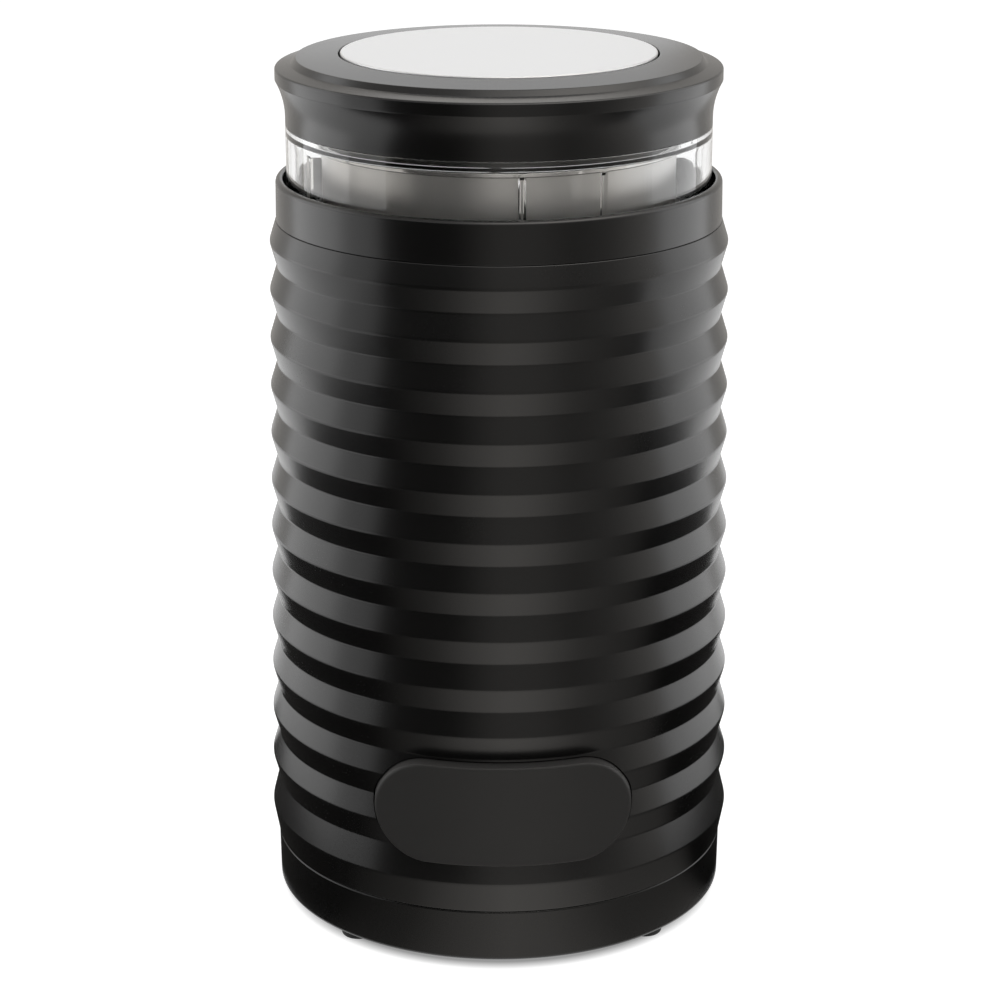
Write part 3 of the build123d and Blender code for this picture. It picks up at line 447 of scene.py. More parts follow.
def bandedMetal(name, look, pitch):
    # a metal whose fine height comes from even bands up Z: stacked sheets or wound wire
    material, bump = newMaterial(name, turnedLines, look)
    tree = material.node_tree
    stripes = newNode(tree, "Group")
    stripes.node_tree = bands
    stripes.inputs["Direction"].default_value = (0, 0, 1)
    stripes.inputs["Count"].default_value = 2 * pi / (pitch * mm)
    tree.links.new(tree.nodes["Texture Coordinate"].outputs["Object"], stripes.inputs["Vector"])
    tree.links.new(stripes.outputs["Height"], bump.inputs["Height"])
    return material


coreLook = surface((0.26, 0.26, 0.27, 1), shade=0.4, rough=0.42, spread=0.2, bump=0.6, depth=0.08,
        shader=metal, Lines=2000)
coilLook = surface((0.52, 0.20, 0.09, 1), shade=0.5, rough=0.3, spread=0.15, bump=0.8, depth=0.12,
        shader={"Metallic": 0.8}, Lines=1500)
materials["coreSteel"] = bandedMetal("coreSteel", coreLook, pitch=0.5)
materials["coilCopper"] = bandedMetal("coilCopper", coilLook, pitch=0.45)

clearLook = surface((0.965, 0.97, 0.97, 1), shade=0.01, rough=0.03, spread=0.02, bump=0.02, depth=0.005,
        shader={"Transmission Weight": 1.0, "IOR": 1.49}, Fine=900, Broad=30)
materials["clearPlastic"] = newMaterial("clearPlastic", mouldedGrain, clearLook)[0]
print("materials ready,", len(materials))


baseSizes = {"taper": 0.2, "wall": 2.6, "floor": 2.4, "lowRound": 1.0, "seamRound": 0.4,
             "ventCount": 12, "ventFrom": 15.0, "ventTo": 29.0, "ventWidth": 2.4, "screwRing": 38.2,
             "screwAngles": (30, 150, 270), "screwHole": 2.8, "recessRoof": 0.4, "columns": 224}


def makeBase():
    # a tray turned from its section, then vents and screw recesses cut into its floor
    size = baseSizes
    outer = highOf("base")[0]
    inner = outer - size["wall"]
    floor = tableGap + size["floor"]
    corners = [(0, tableGap), (outer - size["taper"], tableGap), (outer, seamLow), (inner, seamLow),
               (inner, floor), (0, floor)]
    rounds = {1: size["lowRound"], 2: size["seamRound"]}
    mesh = turnedMesh("baseTray", corners, rounds, closed=False, columns=size["columns"], steps=7)
    half = (size["ventTo"] - size["ventFrom"] - size["ventWidth"]) / 2
    middle = (size["ventFrom"] + size["ventTo"]) / 2
    slot = stadium(half, size["ventWidth"] / 2, 10)
    cutters = [prismMesh("vent", turnedBy(slot, angle, (middle, 0)), tableGap - cutPast, floor + cutPast)
               for angle in evenAngles(size["ventCount"])]
    for angle in size["screwAngles"]:
        place = turnedBy(circle(size["screwHole"]), radians(angle), (size["screwRing"], 0))
        cutters.append(prismMesh("recess", place, tableGap - cutPast, floor - size["recessRoof"]))
    return cutAway(mesh, cutters)


addPiece("baseTray", makeBase(), "basePlastic", "body", ["base"])

footSizes = {"radius": 3.6, "round": 0.7, "dish": 0.25, "dishTo": 0.62, "rimFrom": 0.7, "columns": 56}


def makeFeet():
    # four turned pads with a dished underside, set on the diagonals
    size = footSizes
    radius = size["radius"]
    corner = highOf("feet")
    high = corner[2]
    ring = (corner[0] - radius) * 2 ** 0.5
    section = [(0, size["dish"]), (radius * size["dishTo"], size["dish"]), (radius * size["rimFrom"], 0),
               (radius, 0), (radius, high), (0, high)]
    profile = roundedPath(section, {3: size["round"]}, False)
    points = turnedPoints(profile, evenAngles(size["columns"])).reshape(-1, 3)
    faces = gridFaces(len(profile), size["columns"], False)
    places = [(ring * cos(angle), ring * sin(angle), 0) for angle in evenAngles(4) + pi / 4]
    allPoints = np.concatenate([points + place for place in places])
    allFaces = np.concatenate([faces + index * len(points) for index in range(len(places))])
    return closedMesh("footPads", allPoints, allFaces)


addPiece("footPads", makeFeet(), "footRubber", "body", ["feet"])

glandSizes = {"bore": 2.7, "sleeve": 3.55, "flange": 4.3, "innerFlange": 1.3, "outerFlange": 3.4,
              "round": 0.5, "mouth": 0.35, "columns": 72}


def makeGland():
    # turned about its own axis, then stood along Y through the base's back wall
    size = glandSizes
    low = lowOf("cord_gland")
    high = highOf("cord_gland")
    height = (low[2] + high[2]) / 2
    back, face = low[1], high[1]
    innerEnd = back + size["innerFlange"]
    outerStart = face - size["outerFlange"]
    corners = [(size["bore"], back), (size["flange"], back), (size["flange"], innerEnd),
               (size["sleeve"], innerEnd), (size["sleeve"], outerStart), (size["flange"], outerStart),
               (size["flange"], face), (size["bore"], face)]
    mesh = turnedMesh("cordGland", corners, {6: size["round"], 7: size["mouth"]}, columns=size["columns"])
    points = np.array([vertex.co for vertex in mesh.vertices]) / mm
    stood = np.stack([points[:, 0], points[:, 2], height - points[:, 1]], -1)
    mesh.vertices.foreach_set("co", (stood * mm).ravel())
    return mesh


addPiece("cordGland", makeGland(), "glandRubber", "body", ["cord_gland"])
print("base, feet and cord gland made")


ribSizes = {"count": 13, "depth": 1.5, "lowHeight": 13.0, "topHeight": 9.5, "crest": 49.6, "taper": 2.2,
            "crestRound": 1.6, "valleyRound": 1.1, "wall": 2.2, "spigot": 3.0, "topRound": 0.25,
            "seamRound": 0.4, "columns": 256}
ribPitch = (seamHigh - seamLow - ribSizes["lowHeight"] - ribSizes["topHeight"]) / (ribSizes["count"] - 2)


def crestAt(height):
    # the crests stand on a cone that draws in evenly from the lower seam to the upper one
    return ribSizes["crest"] - ribSizes["taper"] * (height - seamLow) / (seamHigh - seamLow)


housingBore = crestAt(seamHigh) - ribSizes["depth"] - ribSizes["wall"]


def ribCorners():
    # a zigzag: valleys one pitch apart, a crest halfway between neighbours, with flat flanks between them;
    # the lowest rib runs down to the base and the uppermost is cut by the collar
    size = ribSizes
    valleyHeights = seamLow + size["lowHeight"] + np.arange(size["count"] - 1) * ribPitch
    crestHeights = valleyHeights + ribPitch / 2
    valleys = np.column_stack([crestAt(valleyHeights) - size["depth"], valleyHeights])
    crests = np.column_stack([crestAt(crestHeights), crestHeights])
    lowest = seamLow + size["lowHeight"] / 2
    zigzag = np.stack([valleys, crests], 1).reshape(-1, 2)
    return np.concatenate([[(crestAt(lowest), lowest)], zigzag])


def makeHousing():
    # the uppermost rib is cut past its crest, where it has come in by depth * (2 * topHeight / pitch - 1)
    size = ribSizes
    ribs = ribCorners()
    cut = size["depth"] * (2 * size["topHeight"] / ribPitch - 1)
    outerLow = highOf("base")[0]
    spigot = outerLow - baseSizes["wall"] - slipGap
    deep = seamLow - size["spigot"]
    inside = np.array([(crestAt(seamHigh) - cut, seamHigh), (housingBore, seamHigh), (housingBore, deep),
                       (spigot, deep), (spigot, seamLow), (outerLow, seamLow)])
    rounds = {index: size["valleyRound"] if index % 2 else size["crestRound"] for index in range(len(ribs))}
    rounds.update({len(ribs): size["topRound"], len(ribs) + 5: size["seamRound"]})
    corners = np.concatenate([ribs, inside])
    return turnedMesh("ribbedHousing", corners, rounds, columns=size["columns"], steps=4)


badgeSizes = {"round": 0.6, "seat": 2.15, "gap": 0.3, "under": 0.05, "outside": 2.0, "around": 56,
              "along": 40, "inward": 22, "roundSteps": 5}
badgeLow = lowOf("badge")
badgeHigh = highOf("badge")
badgeHeight = badgeHigh[2] - badgeLow[2]
badgeWidth = badgeHigh[0] - badgeLow[0]
badgeMiddle = (badgeHigh[2] + badgeLow[2]) / 2
badgeFace = -badgeLow[1]  # radius of its curved front


def badgeLoop(inset):
    # the stadium seen from the front, drawn in by inset: half circles shrink, straight sides stay
    radius = max(badgeHeight / 2 - inset, 0)
    return stadium((badgeWidth - badgeHeight) / 2, radius, badgeSizes["around"], badgeSizes["along"])


def badgeRing(inset, radius):
    # a stadium laid on the cylinder y = -sqrt(radius^2 - x^2)
    x, z = badgeLoop(inset).T
    return np.column_stack([x, -np.sqrt(radius ** 2 - x ** 2), z + badgeMiddle])


def makeBadge():
    # side wall, a quarter round, then loops that close on the middle line; the back closes the same way
    size = badgeSizes
    seat = ribSizes["crest"] - size["seat"]
    turn = np.linspace(0, pi / 2, size["roundSteps"] + 1)
    rings = [badgeRing(badgeHeight / 2, seat), badgeRing(badgeHeight / 4, seat), badgeRing(0, seat)]
    rings += [badgeRing(size["round"] * (1 - cos(angle)), badgeFace - size["round"] * (1 - sin(angle)))
              for angle in turn]
    rings += [badgeRing(inset, badgeFace)
              for inset in np.linspace(size["round"], badgeHeight / 2, size["inward"])[1:]]
    return closedMesh("badgePlate", np.concatenate(rings), gridFaces(len(rings), len(rings[0]), False))


def makePocket():
    # the badge's outline with a small gap round it, from the pocket's floor to outside the ribs
    size = badgeSizes
    seat = ribSizes["crest"] - size["seat"] - size["under"]
    outside = badgeFace + size["outside"]
    rings = [badgeRing(badgeHeight / 2, seat), badgeRing(-size["gap"], seat),
             badgeRing(-size["gap"], outside), badgeRing(badgeHeight / 2, outside)]
    return closedMesh("pocket", np.concatenate(rings), gridFaces(4, len(rings[0]), False))


housingMesh = cutAway(makeHousing(), [makePocket()])
addPiece("ribbedHousing", housingMesh, "housingPlastic", "body", ["housing"])
addPiece("badgePlate", makeBadge(), "badgePlastic", "body", ["badge"])
print("housing and badge made")


collarSizes = {"taper": 0.1, "wall": 1.5, "round": 0.9, "mouthRound": 0.4, "shelfRound": 0.3,
               "seamRound": 0.25, "holeGap": 0.3, "rodHole": 1.75, "spigotWall": 2.0, "spigotDeep": 6.0,
               "columns": 224}


def makeCollar():
    # mouth for the lid over a shelf, spigot down into the housing, and a hole for the switch rod
    size = collarSizes
    outer = highOf("collar")[0]
    mouth = outer - size["taper"] - size["wall"]
    hole = bowlRadius + size["holeGap"]
    bore = housingBore - slipGap
    deep = seamHigh - size["spigotDeep"]
    corners = [(hole, shelf), (mouth, shelf), (mouth, collarTop), (outer - size["taper"], collarTop),
               (outer, seamHigh), (bore, seamHigh), (bore, deep), (bore - size["spigotWall"], deep),
               (bore - size["spigotWall"], seamHigh), (hole, seamHigh)]
    rounds = {0: size["shelfRound"], 1: size["shelfRound"], 2: size["mouthRound"], 3: size["round"],
              4: size["seamRound"]}
    mesh = turnedMesh("collarRing", corners, rounds, columns=size["columns"], steps=6)
    rodHole = prismMesh("rodHole", circle(size["rodHole"], 0, rodRing), deep - cutPast, shelf + cutPast)
    return cutAway(mesh, [rodHole])


addPiece("collarRing", makeCollar(), "blackPlastic", "body", ["collar"])

bowlSizes = {"sheet": 0.8, "corner": 10.0, "hole": 6.0, "bead": 1.6, "columns": 192}


def makeBowl():
    # one sheet all round, with a hole for the bush and a rolled bead at the rim
    size = bowlSizes
    inner = bowlRadius - size["sheet"]
    low = lowOf("bowl")[2]
    corners = [(size["hole"], low), (bowlRadius, low), (bowlRadius, bowlRim - size["bead"]),
               (beadRadius, bowlRim - size["bead"]), (beadRadius, bowlRim), (inner, bowlRim),
               (inner, low + size["sheet"]), (size["hole"], low + size["sheet"])]
    rounds = {1: size["corner"], 3: size["bead"] / 4, 4: size["bead"] / 2, 5: size["bead"] / 3,
              6: size["corner"] - size["sheet"]}
    return turnedMesh("steelBowl", corners, rounds, columns=size["columns"], steps=10)


addPiece("steelBowl", makeBowl(), "bowlSteel", "body", ["bowl"])

sealSizes = {"outerRound": 0.4, "innerRound": 0.2, "columns": 160}


def makeSeal():
    size = sealSizes
    low = lowOf("bowl_seal")[2]
    high = highOf("bowl_seal")
    inner = bowlRadius + runGap
    corners = [(inner, low), (high[0], low), (high[0], high[2]), (inner, high[2])]
    rounds = {2: size["outerRound"], 3: size["innerRound"]}
    return turnedMesh("bowlSeal", corners, rounds, columns=size["columns"])


addPiece("bowlSeal", makeSeal(), "sealRubber", "body", ["bowl_seal"])

bushSizes = {"bore": 3.05, "body": 5.9, "flangeHigh": 1.4, "edgeHigh": 0.7, "top": 4.8, "round": 0.3,
             "columns": 72}


def makeBush():
    # a sleeve under a flange whose top slopes in towards the shaft
    size = bushSizes
    low = lowOf("shaft_bush")[2]
    flange, _, top = highOf("shaft_bush")
    seat = top - size["flangeHigh"]
    corners = [(size["bore"], low), (size["body"], low), (size["body"], seat), (flange, seat),
               (flange, seat + size["edgeHigh"]), (size["top"], top), (size["bore"], top)]
    rounds = {1: size["round"], 4: size["round"], 5: size["round"]}
    return turnedMesh("shaftBush", corners, rounds, columns=size["columns"])


addPiece("shaftBush", makeBush(), "bushPlastic", "body", ["shaft_bush"])
print("collar, bowl, seal and bush made")

lidSizes = {"wall": 1.8, "ledgeHigh": 1.9, "ledgeWide": 1.7, "roofRise": 0.3, "roof": 1.8, "neckHigh": 3.8,
            "skirtWall": 1.6, "boss": 4.2, "bossBore": 2.6, "bossHigh": 6.2, "roofRound": 0.4,
            "ledgeRound": 0.5, "wallRound": 0.5, "innerFootRound": 0.3, "footRound": 0.4, "neckRound": 0.2,
            "bossRound": 0.4, "ribTurns": (4.9, 27.4), "ribWide": 1.0, "ribDeep": 0.7, "ribHigh": 13.9,
            "ribFade": 0.6, "ribColumns": 9, "ribRoom": 0.4, "columns": 216}


def lidAngles():
    # even columns, with a tight cluster of extra ones at each locating rib, two ribs to a quarter turn;
    # an even column nearer to a cluster than ribRoom of its spacing is left out
    size = lidSizes
    spread = np.linspace(-1, 1, size["ribColumns"]) * size["ribWide"] / (lidRadius - size["wall"])
    middles = np.radians(np.add.outer(np.arange(4) * 90.0 - 90.0, size["ribTurns"]).ravel())
    ribs = middles[:, None] + spread
    even = evenAngles(size["columns"])
    gap = np.abs((even[:, None, None] - ribs + pi) % (2 * pi) - pi).min((1, 2))
    even = even[gap > size["ribRoom"] * 2 * pi / size["columns"]]
    return np.sort(np.concatenate([even, ribs.ravel() % (2 * pi)])), ribs.mean(1)


def makeClearCup():
    # the cup's section turned round Z; where a locating rib stands, the inner wall comes in by
    # depth * step * step * (3 - 2 * step), and step falls from 1 to 0 between 1/4 and 3/4 of the rib's width
    size = lidSizes
    inner = lidRadius - size["wall"]
    ledge = inner - size["ledgeWide"]
    ledgeLow = capLow - size["ledgeHigh"]
    roof = capLow + size["roofRise"]
    roofTop = roof + size["roof"]
    neck = lidRadius - size["skirtWall"] - slipGap
    neckTop = roofTop + size["neckHigh"]
    bossTop = roofTop + size["bossHigh"]
    ribTop = shelf + size["ribHigh"]
    corners = [(0, roof), (ledge, roof), (ledge, ledgeLow), (inner, ledgeLow),
               (inner, ribTop + size["ribFade"]), (inner, ribTop), (inner, shelf), (lidRadius, shelf),
               (lidRadius, capLow), (neck, capLow), (neck, neckTop), (ledge, neckTop), (ledge, roofTop),
               (size["boss"], roofTop), (size["boss"], bossTop), (size["bossBore"], bossTop),
               (size["bossBore"], roofTop), (0, roofTop)]
    rounds = {1: size["roofRound"], 2: size["ledgeRound"], 3: size["wallRound"], 6: size["innerFootRound"],
              7: size["footRound"], 8: size["neckRound"], 14: size["bossRound"]}
    profile = roundedPath(corners, rounds, False, 4)
    angles, ribPlaces = lidAngles()
    points = turnedPoints(profile, angles)
    radius, height = profile.T
    onWall = (np.abs(radius - inner) < size["wall"] / 2) & (height < ribTop + runGap)
    away = np.abs((angles[:, None] - ribPlaces + pi) % (2 * pi) - pi).min(1) * inner
    step = np.clip((size["ribWide"] * 0.75 - away) / (size["ribWide"] * 0.5), 0, 1)
    inward = size["ribDeep"] * step * step * (3 - 2 * step)
    shrink = 1 - onWall[:, None] * inward[None, :] / inner
    points[..., :2] *= shrink[..., None]
    return closedMesh("clearCup", points, gridFaces(len(profile), len(angles), False))


addPiece("clearCup", makeClearCup(), "clearPlastic", "lid", ["clear_lid"])

channelSizes = {"outer": 2.05, "bore": 1.35, "lift": 2.4, "topGap": 0.02, "round": 0.2, "columns": 40}


def makeRodChannel():
    # clear tube for the push rod, down the inside of the wall at the back
    size = channelSizes
    low = shelf + size["lift"]
    high = capLow + lidSizes["roofRise"] - size["topGap"]
    corners = [(size["bore"], low), (size["outer"], low), (size["outer"], high), (size["bore"], high)]
    rounds = {0: size["round"], 1: size["round"]}
    mesh = turnedMesh("rodChannel", corners, rounds, columns=size["columns"], steps=3)
    mesh.transform(Matrix.Translation((0, (rodRing - runGap) * mm, 0)))
    return mesh


addPiece("rodChannel", makeRodChannel(), "clearPlastic", "lid")

capSizes = {"straight": 1.4, "rimHigh": 2.4, "rimDrop": 2.6, "ringRise": 0.7, "ringWide": 3.2,
            "stepWide": 1.0, "plateauDrop": 0.7, "rimRound": 0.5, "edgeRound": 0.3, "footRound": 0.15,
            "plateDrop": 3.9, "buttonGap": 0.35, "guideWall": 1.6, "guideLift": 6.3, "flareSteps": 22,
            "columns": 240}


def makeCap():
    # the skirt flares on an arc that leaves the clear wall upright: radius = lidRadius + bend -
    # sqrt(bend * bend - height * height), with bend = (rise * rise + flare * flare) / (2 * flare)
    size = capSizes
    rimTop = capTop - size["rimDrop"]
    rimLow = rimTop - size["rimHigh"]
    start = capLow + size["straight"]
    flare = capRadius - lidRadius
    rise = rimLow - start
    bend = (rise ** 2 + flare ** 2) / (2 * flare)
    height = np.linspace(0, rise, size["flareSteps"])
    skirt = np.column_stack([lidRadius + bend - np.sqrt(bend ** 2 - height ** 2), start + height])
    step = capRadius - size["ringWide"]
    plateau = step - size["stepWide"]
    bore = discRadius + size["buttonGap"]
    guide = bore + size["guideWall"]
    guideLow = capLow + size["guideLift"]
    plateLow = capTop - size["plateDrop"]
    inner = lidRadius - lidSizes["skirtWall"]
    top = [skirt[-1], (capRadius, rimTop), (step, rimTop + size["ringRise"]),
           (plateau, capTop - size["plateauDrop"]), (bore, capTop), (bore, guideLow), (guide, guideLow),
           (guide, plateLow), (inner, plateLow), (inner, capLow), (lidRadius, capLow), skirt[0]]
    rounds = {1: size["rimRound"], 2: size["edgeRound"], 3: size["edgeRound"], 4: size["edgeRound"],
              10: size["footRound"]}
    rim = roundedPath(top, rounds, False, 6)
    profile = np.concatenate([skirt, rim[1:-1]])
    points = turnedPoints(profile, evenAngles(size["columns"]))
    return closedMesh("capRing", points, gridFaces(len(profile), size["columns"], True))


addPiece("capRing", makeCap(), "capPlastic", "lid", ["cap_ring"])

discSizes = {"thick": 1.0, "round": 0.3, "columns": 216}


def makeDisc():
    # a flat plate with one more ring of points halfway out on its face
    size = discSizes
    low = discTop - size["thick"]
    corners = [(0, low), (discRadius, low), (discRadius, discTop), (discRadius / 2, discTop), (0, discTop)]
    return turnedMesh("pushDisc", corners, {2: size["round"]}, closed=False, columns=size["columns"])


addPiece("pushDisc", makeDisc(), "silverDisc", "button", ["button_disc"])

springSizes = {
    "button_spring": {"name": "buttonSpring", "body": "lid", "joint": "button_press", "stroke": 2.2,
                      "wire": 0.45, "turns": 4},
    "rod_spring": {"name": "rodSpring", "body": "body", "joint": "rod_press", "stroke": 2.2,
                   "wire": 0.35, "turns": 4},
}


def makeSpring(node, size, around=14, perTurn=48):
    # a circle carried up a helix: middle = (radius * cos(angle), radius * sin(angle), low + rise * share);
    # the circle stands square to the wire, and both ends close on the wire's middle
    low, high = lowOf(node), highOf(node)
    wire = size["wire"]
    radius = (high[0] - low[0]) / 2 - wire
    rise = high[2] - low[2] - 2 * wire
    share = np.linspace(0, 1, size["turns"] * perTurn + 1)
    angle = 2 * pi * size["turns"] * share
    outward = np.column_stack([np.cos(angle), np.sin(angle), np.zeros(len(angle))])
    middle = radius * outward + np.column_stack([np.zeros((len(angle), 2)), low[2] + wire + rise * share])
    climb = rise / (2 * pi * size["turns"])
    along = np.column_stack([-radius * np.sin(angle), radius * np.cos(angle), np.full(len(angle), climb)])
    along /= np.linalg.norm(along, axis=1)[:, None]
    upward = np.cross(along, outward)
    turn = evenAngles(around)
    circles = outward[:, None] * np.cos(turn)[:, None] + upward[:, None] * np.sin(turn)[:, None]
    thick = np.full(len(angle) + 2, wire)
    thick[[0, -1]] = 0
    rows = np.concatenate([[0], np.arange(len(angle)), [len(angle) - 1]])
    points = middle[rows][:, None] + thick[:, None, None] * circles[rows]
    points[..., 1] += (low[1] + high[1]) / 2
    return closedMesh(size["name"], points, gridFaces(len(rows), around, False))


for node, size in springSizes.items():
    # each spring is made at rest, with a mesh of its own
    mesh = makeSpring(node, size)
    spring = addPiece(size["name"], mesh, "springSteel", size["body"], [node])
    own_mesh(spring)
print("lid, cap, push disc and springs made")

# finishes of the pieces that keep their solid
cadFinishes = {
    "zincSteel": ["base_screws", "bush_nut", "motor_bolts", "mount_screws"],
    "innerPlastic": ["bowl_deck", "button_carrier"], "bracketPlastic": ["lower_bracket", "upper_bracket"],
    "bearingBronze": ["lower_bearing", "upper_bearing"], "coreSteel": ["stator_core", "armature_core"],
    "coilCopper": ["field_coils", "armature_windings"], "commutatorCopper": ["commutator"],
    "footRubber": ["rubber_mounts"], "bushPlastic": ["brush_holders"], "brushCarbon": ["carbon_brushes"],
    "springSteel": ["brush_springs", "switch_lever"], "rodPlastic": ["push_rod", "switch_rod"],
    "switchPlastic": ["microswitch"], "switchButtonPlastic": ["switch_button"], "shaftSteel": ["shaft"],
    "fanPlastic": ["fan"], "bladeSteel": ["blade", "blade_nut"],
}
for finish, names in cadFinishes.items():
    for name in names:
        solid = nodes[name].data
        if not solid.materials:
            solid.materials.append(None)
        for index in range(len(solid.materials)):
            solid.materials[index] = materials[finish]
print("carried-over pieces finished")

cameraSetup = {"distance": 0.5904, "height": 0.2765, "pitch": 17.835, "side": -1.1, "aim": -0.02,
               "lens": 104.65, "sensor": 36, "near": 0.01}


def makeCamera():
    # side is its turn round the grinder from the front, aim a further turn of the camera alone, in degrees
    setup = cameraSetup
    side = radians(setup["side"])
    data = bpy.data.cameras.new("camera")
    data.lens = setup["lens"]
    data.sensor_width = setup["sensor"]
    data.clip_start = setup["near"]
    camera = newObject("camera", data)
    camera.location = (setup["distance"] * sin(side), -setup["distance"] * cos(side), setup["height"])
    camera.rotation_euler = (radians(90 - setup["pitch"]), 0, side + radians(setup["aim"]))
    bpy.context.scene.camera = camera


makeCamera()

panels = {
    "leftPanel": {"place": (-0.46, 0.15, 0.30), "aim": 0.30, "size": (0.42, 0.60), "radiance": 1.0},
    "rightPanel": {"place": (0.46, 0.15, 0.30), "aim": 0.30, "size": (0.42, 0.60), "radiance": 0.92},
    "topPanel": {"place": (0.0, -0.15, 1.2), "aim": 0.10, "size": (1.2, 1.2), "radiance": 1.2,
                 "gloss": False},
}


def makePanel(name, setup):
    # a flat lamp turned towards the axis at the height aim; watts = radiance * pi * area
    width, height = setup["size"]
    lamp = bpy.data.lights.new(name, "AREA")
    lamp.shape = "RECTANGLE"
    lamp.size = width
    lamp.size_y = height
    lamp.energy = setup["radiance"] * pi * width * height
    panel = newObject(name, lamp)
    panel.location = setup["place"]
    aim = Vector((0, 0, setup["aim"])) - panel.location
    panel.rotation_euler = aim.to_track_quat("-Z", "Y").to_euler()
    panel.visible_camera = False
    panel.visible_glossy = setup.get("gloss", True)
    panel.visible_transmission = False


for name, setup in panels.items():
    makePanel(name, setup)


def stageMesh(name, points, faces, material):
    mesh = bpy.data.meshes.new(name)
    mesh.from_pydata(points.reshape(-1, 3).tolist(), [], faces.tolist())
    mesh.materials.append(material)
    piece = newObject(name, mesh)
    return piece


def backgroundSeen(tree):
    # 1 for rays that come straight from the camera, off gloss or through clear plastic, 0 for the rest
    path = newNode(tree, "LightPath")
    direct = mathNode(tree, "MAXIMUM", path.outputs["Is Camera Ray"], path.outputs["Is Transmission Ray"])
    return mathNode(tree, "MAXIMUM", direct, path.outputs["Is Glossy Ray"])


# white to the eye, in gloss and through clear plastic; dim as a lamp
backdrop = {"white": 1.0, "dim": 0.10}


def makeWorld():
    world = bpy.data.worlds.new("studio")
    world.use_nodes = True
    tree = world.node_tree
    tree.nodes.clear()
    seen = backgroundSeen(tree)
    extra = mathNode(tree, "MULTIPLY", seen, backdrop["white"] - backdrop["dim"])
    level = mathNode(tree, "ADD", extra, backdrop["dim"])
    light = newNode(tree, "Background")
    light.inputs["Color"].default_value = (1, 1, 1, 1)
    output = newNode(tree, "OutputWorld")
    tree.links.new(level, light.inputs["Strength"])
    tree.links.new(light.outputs[0], output.inputs["Surface"])
    bpy.context.scene.world = world


makeWorld()

# cards round the grinder that only gloss and clear plastic show, so they only paint reflections and what
# shows through the clear plastic; the nearly black flat cards paint dark reflections of a floor that is
# white to the eye; upright or flat; metres, and degrees from the front with left negative; glow is (angle,
# strength) from one end of the card to the other
cardTint = (1.04, 1.0, 0.95)
cards = {
    "front": {"radii": (0.25, 0.25), "heights": (0.002, 0.27),
              "glow": [(-58, 0.25), (-54, 0.04), (-20, 0.06), (-1, 0.46), (18, 0.42), (32, 0.22), (51, 0.35),
                       (78, 0.95)]},
    "flat": {"radii": (0.0495, 0.25), "heights": (0.0004, 0.0004),
             "glow": [(-62, 0.03), (-56, 0.03), (-30, 0.30), (-14, 0.78), (2, 1.2), (14, 1.05), (36, 0.42),
                      (66, 0.20), (78, 0.0)]},
    # nearly black sheets on the floor beside the grinder: painted dark reflections
    "leftDarkReflection": {"radii": (0.0495, 0.21), "heights": (0.0004, 0.0004), "glow": [(-140, 0.04), (-62, 0.02)]},
    "rightDarkReflection": {"radii": (0.0495, 0.205), "heights": (0.0004, 0.0004), "glow": [(78, 0.0), (140, 0.04)]},
    "overhead": {"radii": (0.14, 0.36), "heights": (0.44, 0.44),
                 "glow": [(-110, 0.5), (-28, 0.5), (-6, 2.6), (25, 3.4), (80, 2.6), (110, 1.0)]},
    "backHigh": {"radii": (0.5, 0.5), "heights": (0.52, 0.78), "clear": False,
                 "glow": [(148, 2.0), (212, 2.0)]},
    "leftClear": {"radii": (0.3, 0.3), "heights": (0.002, 0.5), "gloss": False,
                  "glow": [(-128, 1.0), (-100, 0.75), (-58, 0.6)]},
    "leftBack": {"radii": (0.5, 0.5), "heights": (0.002, 0.9), "clear": False,
                 "glow": [(-170, 0.65), (-126, 0.65)]},
    "rightBack": {"radii": (0.5, 0.5), "heights": (0.002, 0.9), "clear": False,
                  "glow": [(126, 0.6), (170, 0.6)]},
}


def emptyMaterial(name):
    material = bpy.data.materials.new(name)
    material.use_nodes = True
    material.node_tree.nodes.clear()
    return material, material.node_tree


def cardMaterial(name, setup):
    # the ramp runs from one end of the card to the other: place on it = (angle - first) / (last - first)
    material, tree = emptyMaterial(name)
    first, last = setup["glow"][0][0], setup["glow"][-1][0]
    place = newNode(tree, "TexCoord")
    parts = newNode(tree, "SeparateXYZ")
    tree.links.new(place.outputs["Object"], parts.inputs[0])
    forward = mathNode(tree, "MULTIPLY", parts.outputs["Y"], -1.0)
    angle = mathNode(tree, "ARCTAN2", parts.outputs["X"], forward)
    past = mathNode(tree, "SUBTRACT", angle, radians(first))
    share = mathNode(tree, "DIVIDE", past, radians(last) - radians(first), clamp=True)
    ramp = newNode(tree, "ValToRGB")
    tree.links.new(share, ramp.inputs["Fac"])
    elements = ramp.color_ramp.elements
    while len(elements) < len(setup["glow"]):
        elements.new(0.5)
    for element, (turn, value) in zip(elements, setup["glow"]):
        element.position = (turn - first) / (last - first)
        element.color = [value * tint for tint in cardTint] + [1]
    glow = newNode(tree, "Emission")
    output = newNode(tree, "OutputMaterial")
    tree.links.new(ramp.outputs["Color"], glow.inputs["Color"])
    tree.links.new(glow.outputs[0], output.inputs["Surface"])
    return material


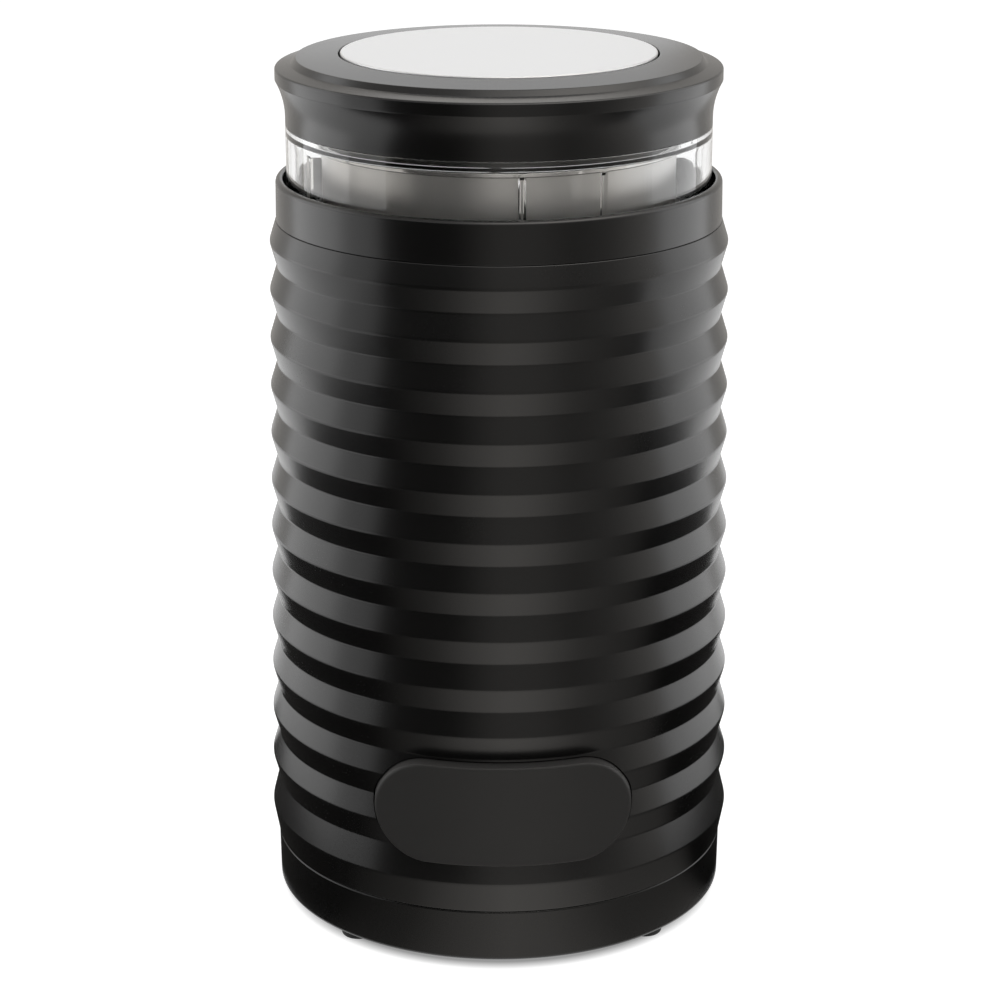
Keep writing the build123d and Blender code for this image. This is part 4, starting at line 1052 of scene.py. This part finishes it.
def makeCard(name, setup, columns=64):
    # two rows of points on arcs round Z: x = r * sin(angle), y = -r * cos(angle)
    angles = np.radians(np.linspace(setup["glow"][0][0], setup["glow"][-1][0], columns))
    rows = [np.column_stack([radius * np.sin(angles), -radius * np.cos(angles), np.full(columns, height)])
            for radius, height in zip(setup["radii"], setup["heights"])]
    first = np.arange(columns - 1)
    faces = np.stack([first, first + 1, first + 1 + columns, first + columns], -1)
    card = stageMesh(name + "Card", np.stack(rows), faces, cardMaterial(name + "Card", setup))
    card.visible_camera = False
    card.visible_diffuse = False
    card.visible_shadow = False
    card.visible_glossy = setup.get("gloss", True)
    card.visible_transmission = setup.get("clear", True)


for name, setup in cards.items():
    makeCard(name, setup)

# the low strengths close to the grinder paint a contact shadow on the floor
floorLook = {"reach": 4.0, "colour": (0.50, 0.50, 0.50, 1),
             "glowWithPaintedShadow": [(0.0445, 0.30), (0.0476, 0.90), (0.055, 0.98), (0.30, 1.0)]}


def makeFloor():
    # pale paper; where the background shows it is lifted by a glow that grows with the distance from the
    # grinder, along straight lines between the (distance in metres, strength) pairs; the paper's own shadow
    # is real, and the weak glow close to the grinder paints more contact shadow on top of it
    look = floorLook
    points = look["reach"] * np.array([(-1, -1, 0), (1, -1, 0), (1, 1, 0), (-1, 1, 0)])
    material, tree = emptyMaterial("floorPaper")
    paper = newNode(tree, "BsdfDiffuse")
    paper.inputs["Color"].default_value = look["colour"]
    glow = newNode(tree, "Emission")
    place = newNode(tree, "TexCoord")
    radius = newNode(tree, "VectorMath")
    radius.operation = "LENGTH"
    tree.links.new(place.outputs["Object"], radius.inputs[0])
    lift = look["glowWithPaintedShadow"][0][1]
    for (near, low), (far, high) in zip(look["glowWithPaintedShadow"], look["glowWithPaintedShadow"][1:]):
        past = mathNode(tree, "SUBTRACT", radius.outputs["Value"], near)
        share = mathNode(tree, "DIVIDE", past, far - near, clamp=True)
        lift = mathNode(tree, "ADD", mathNode(tree, "MULTIPLY", share, high - low), lift)
    tree.links.new(mathNode(tree, "MULTIPLY", backgroundSeen(tree), lift), glow.inputs["Strength"])
    both = newNode(tree, "AddShader")
    output = newNode(tree, "OutputMaterial")
    tree.links.new(paper.outputs[0], both.inputs[0])
    tree.links.new(glow.outputs[0], both.inputs[1])
    tree.links.new(both.outputs[0], output.inputs["Surface"])
    stageMesh("floor", points, np.array([[0, 1, 2, 3]]), material)


makeFloor()
bpy.context.scene.view_settings.view_transform = "Standard"
print("camera, light and floor ready")
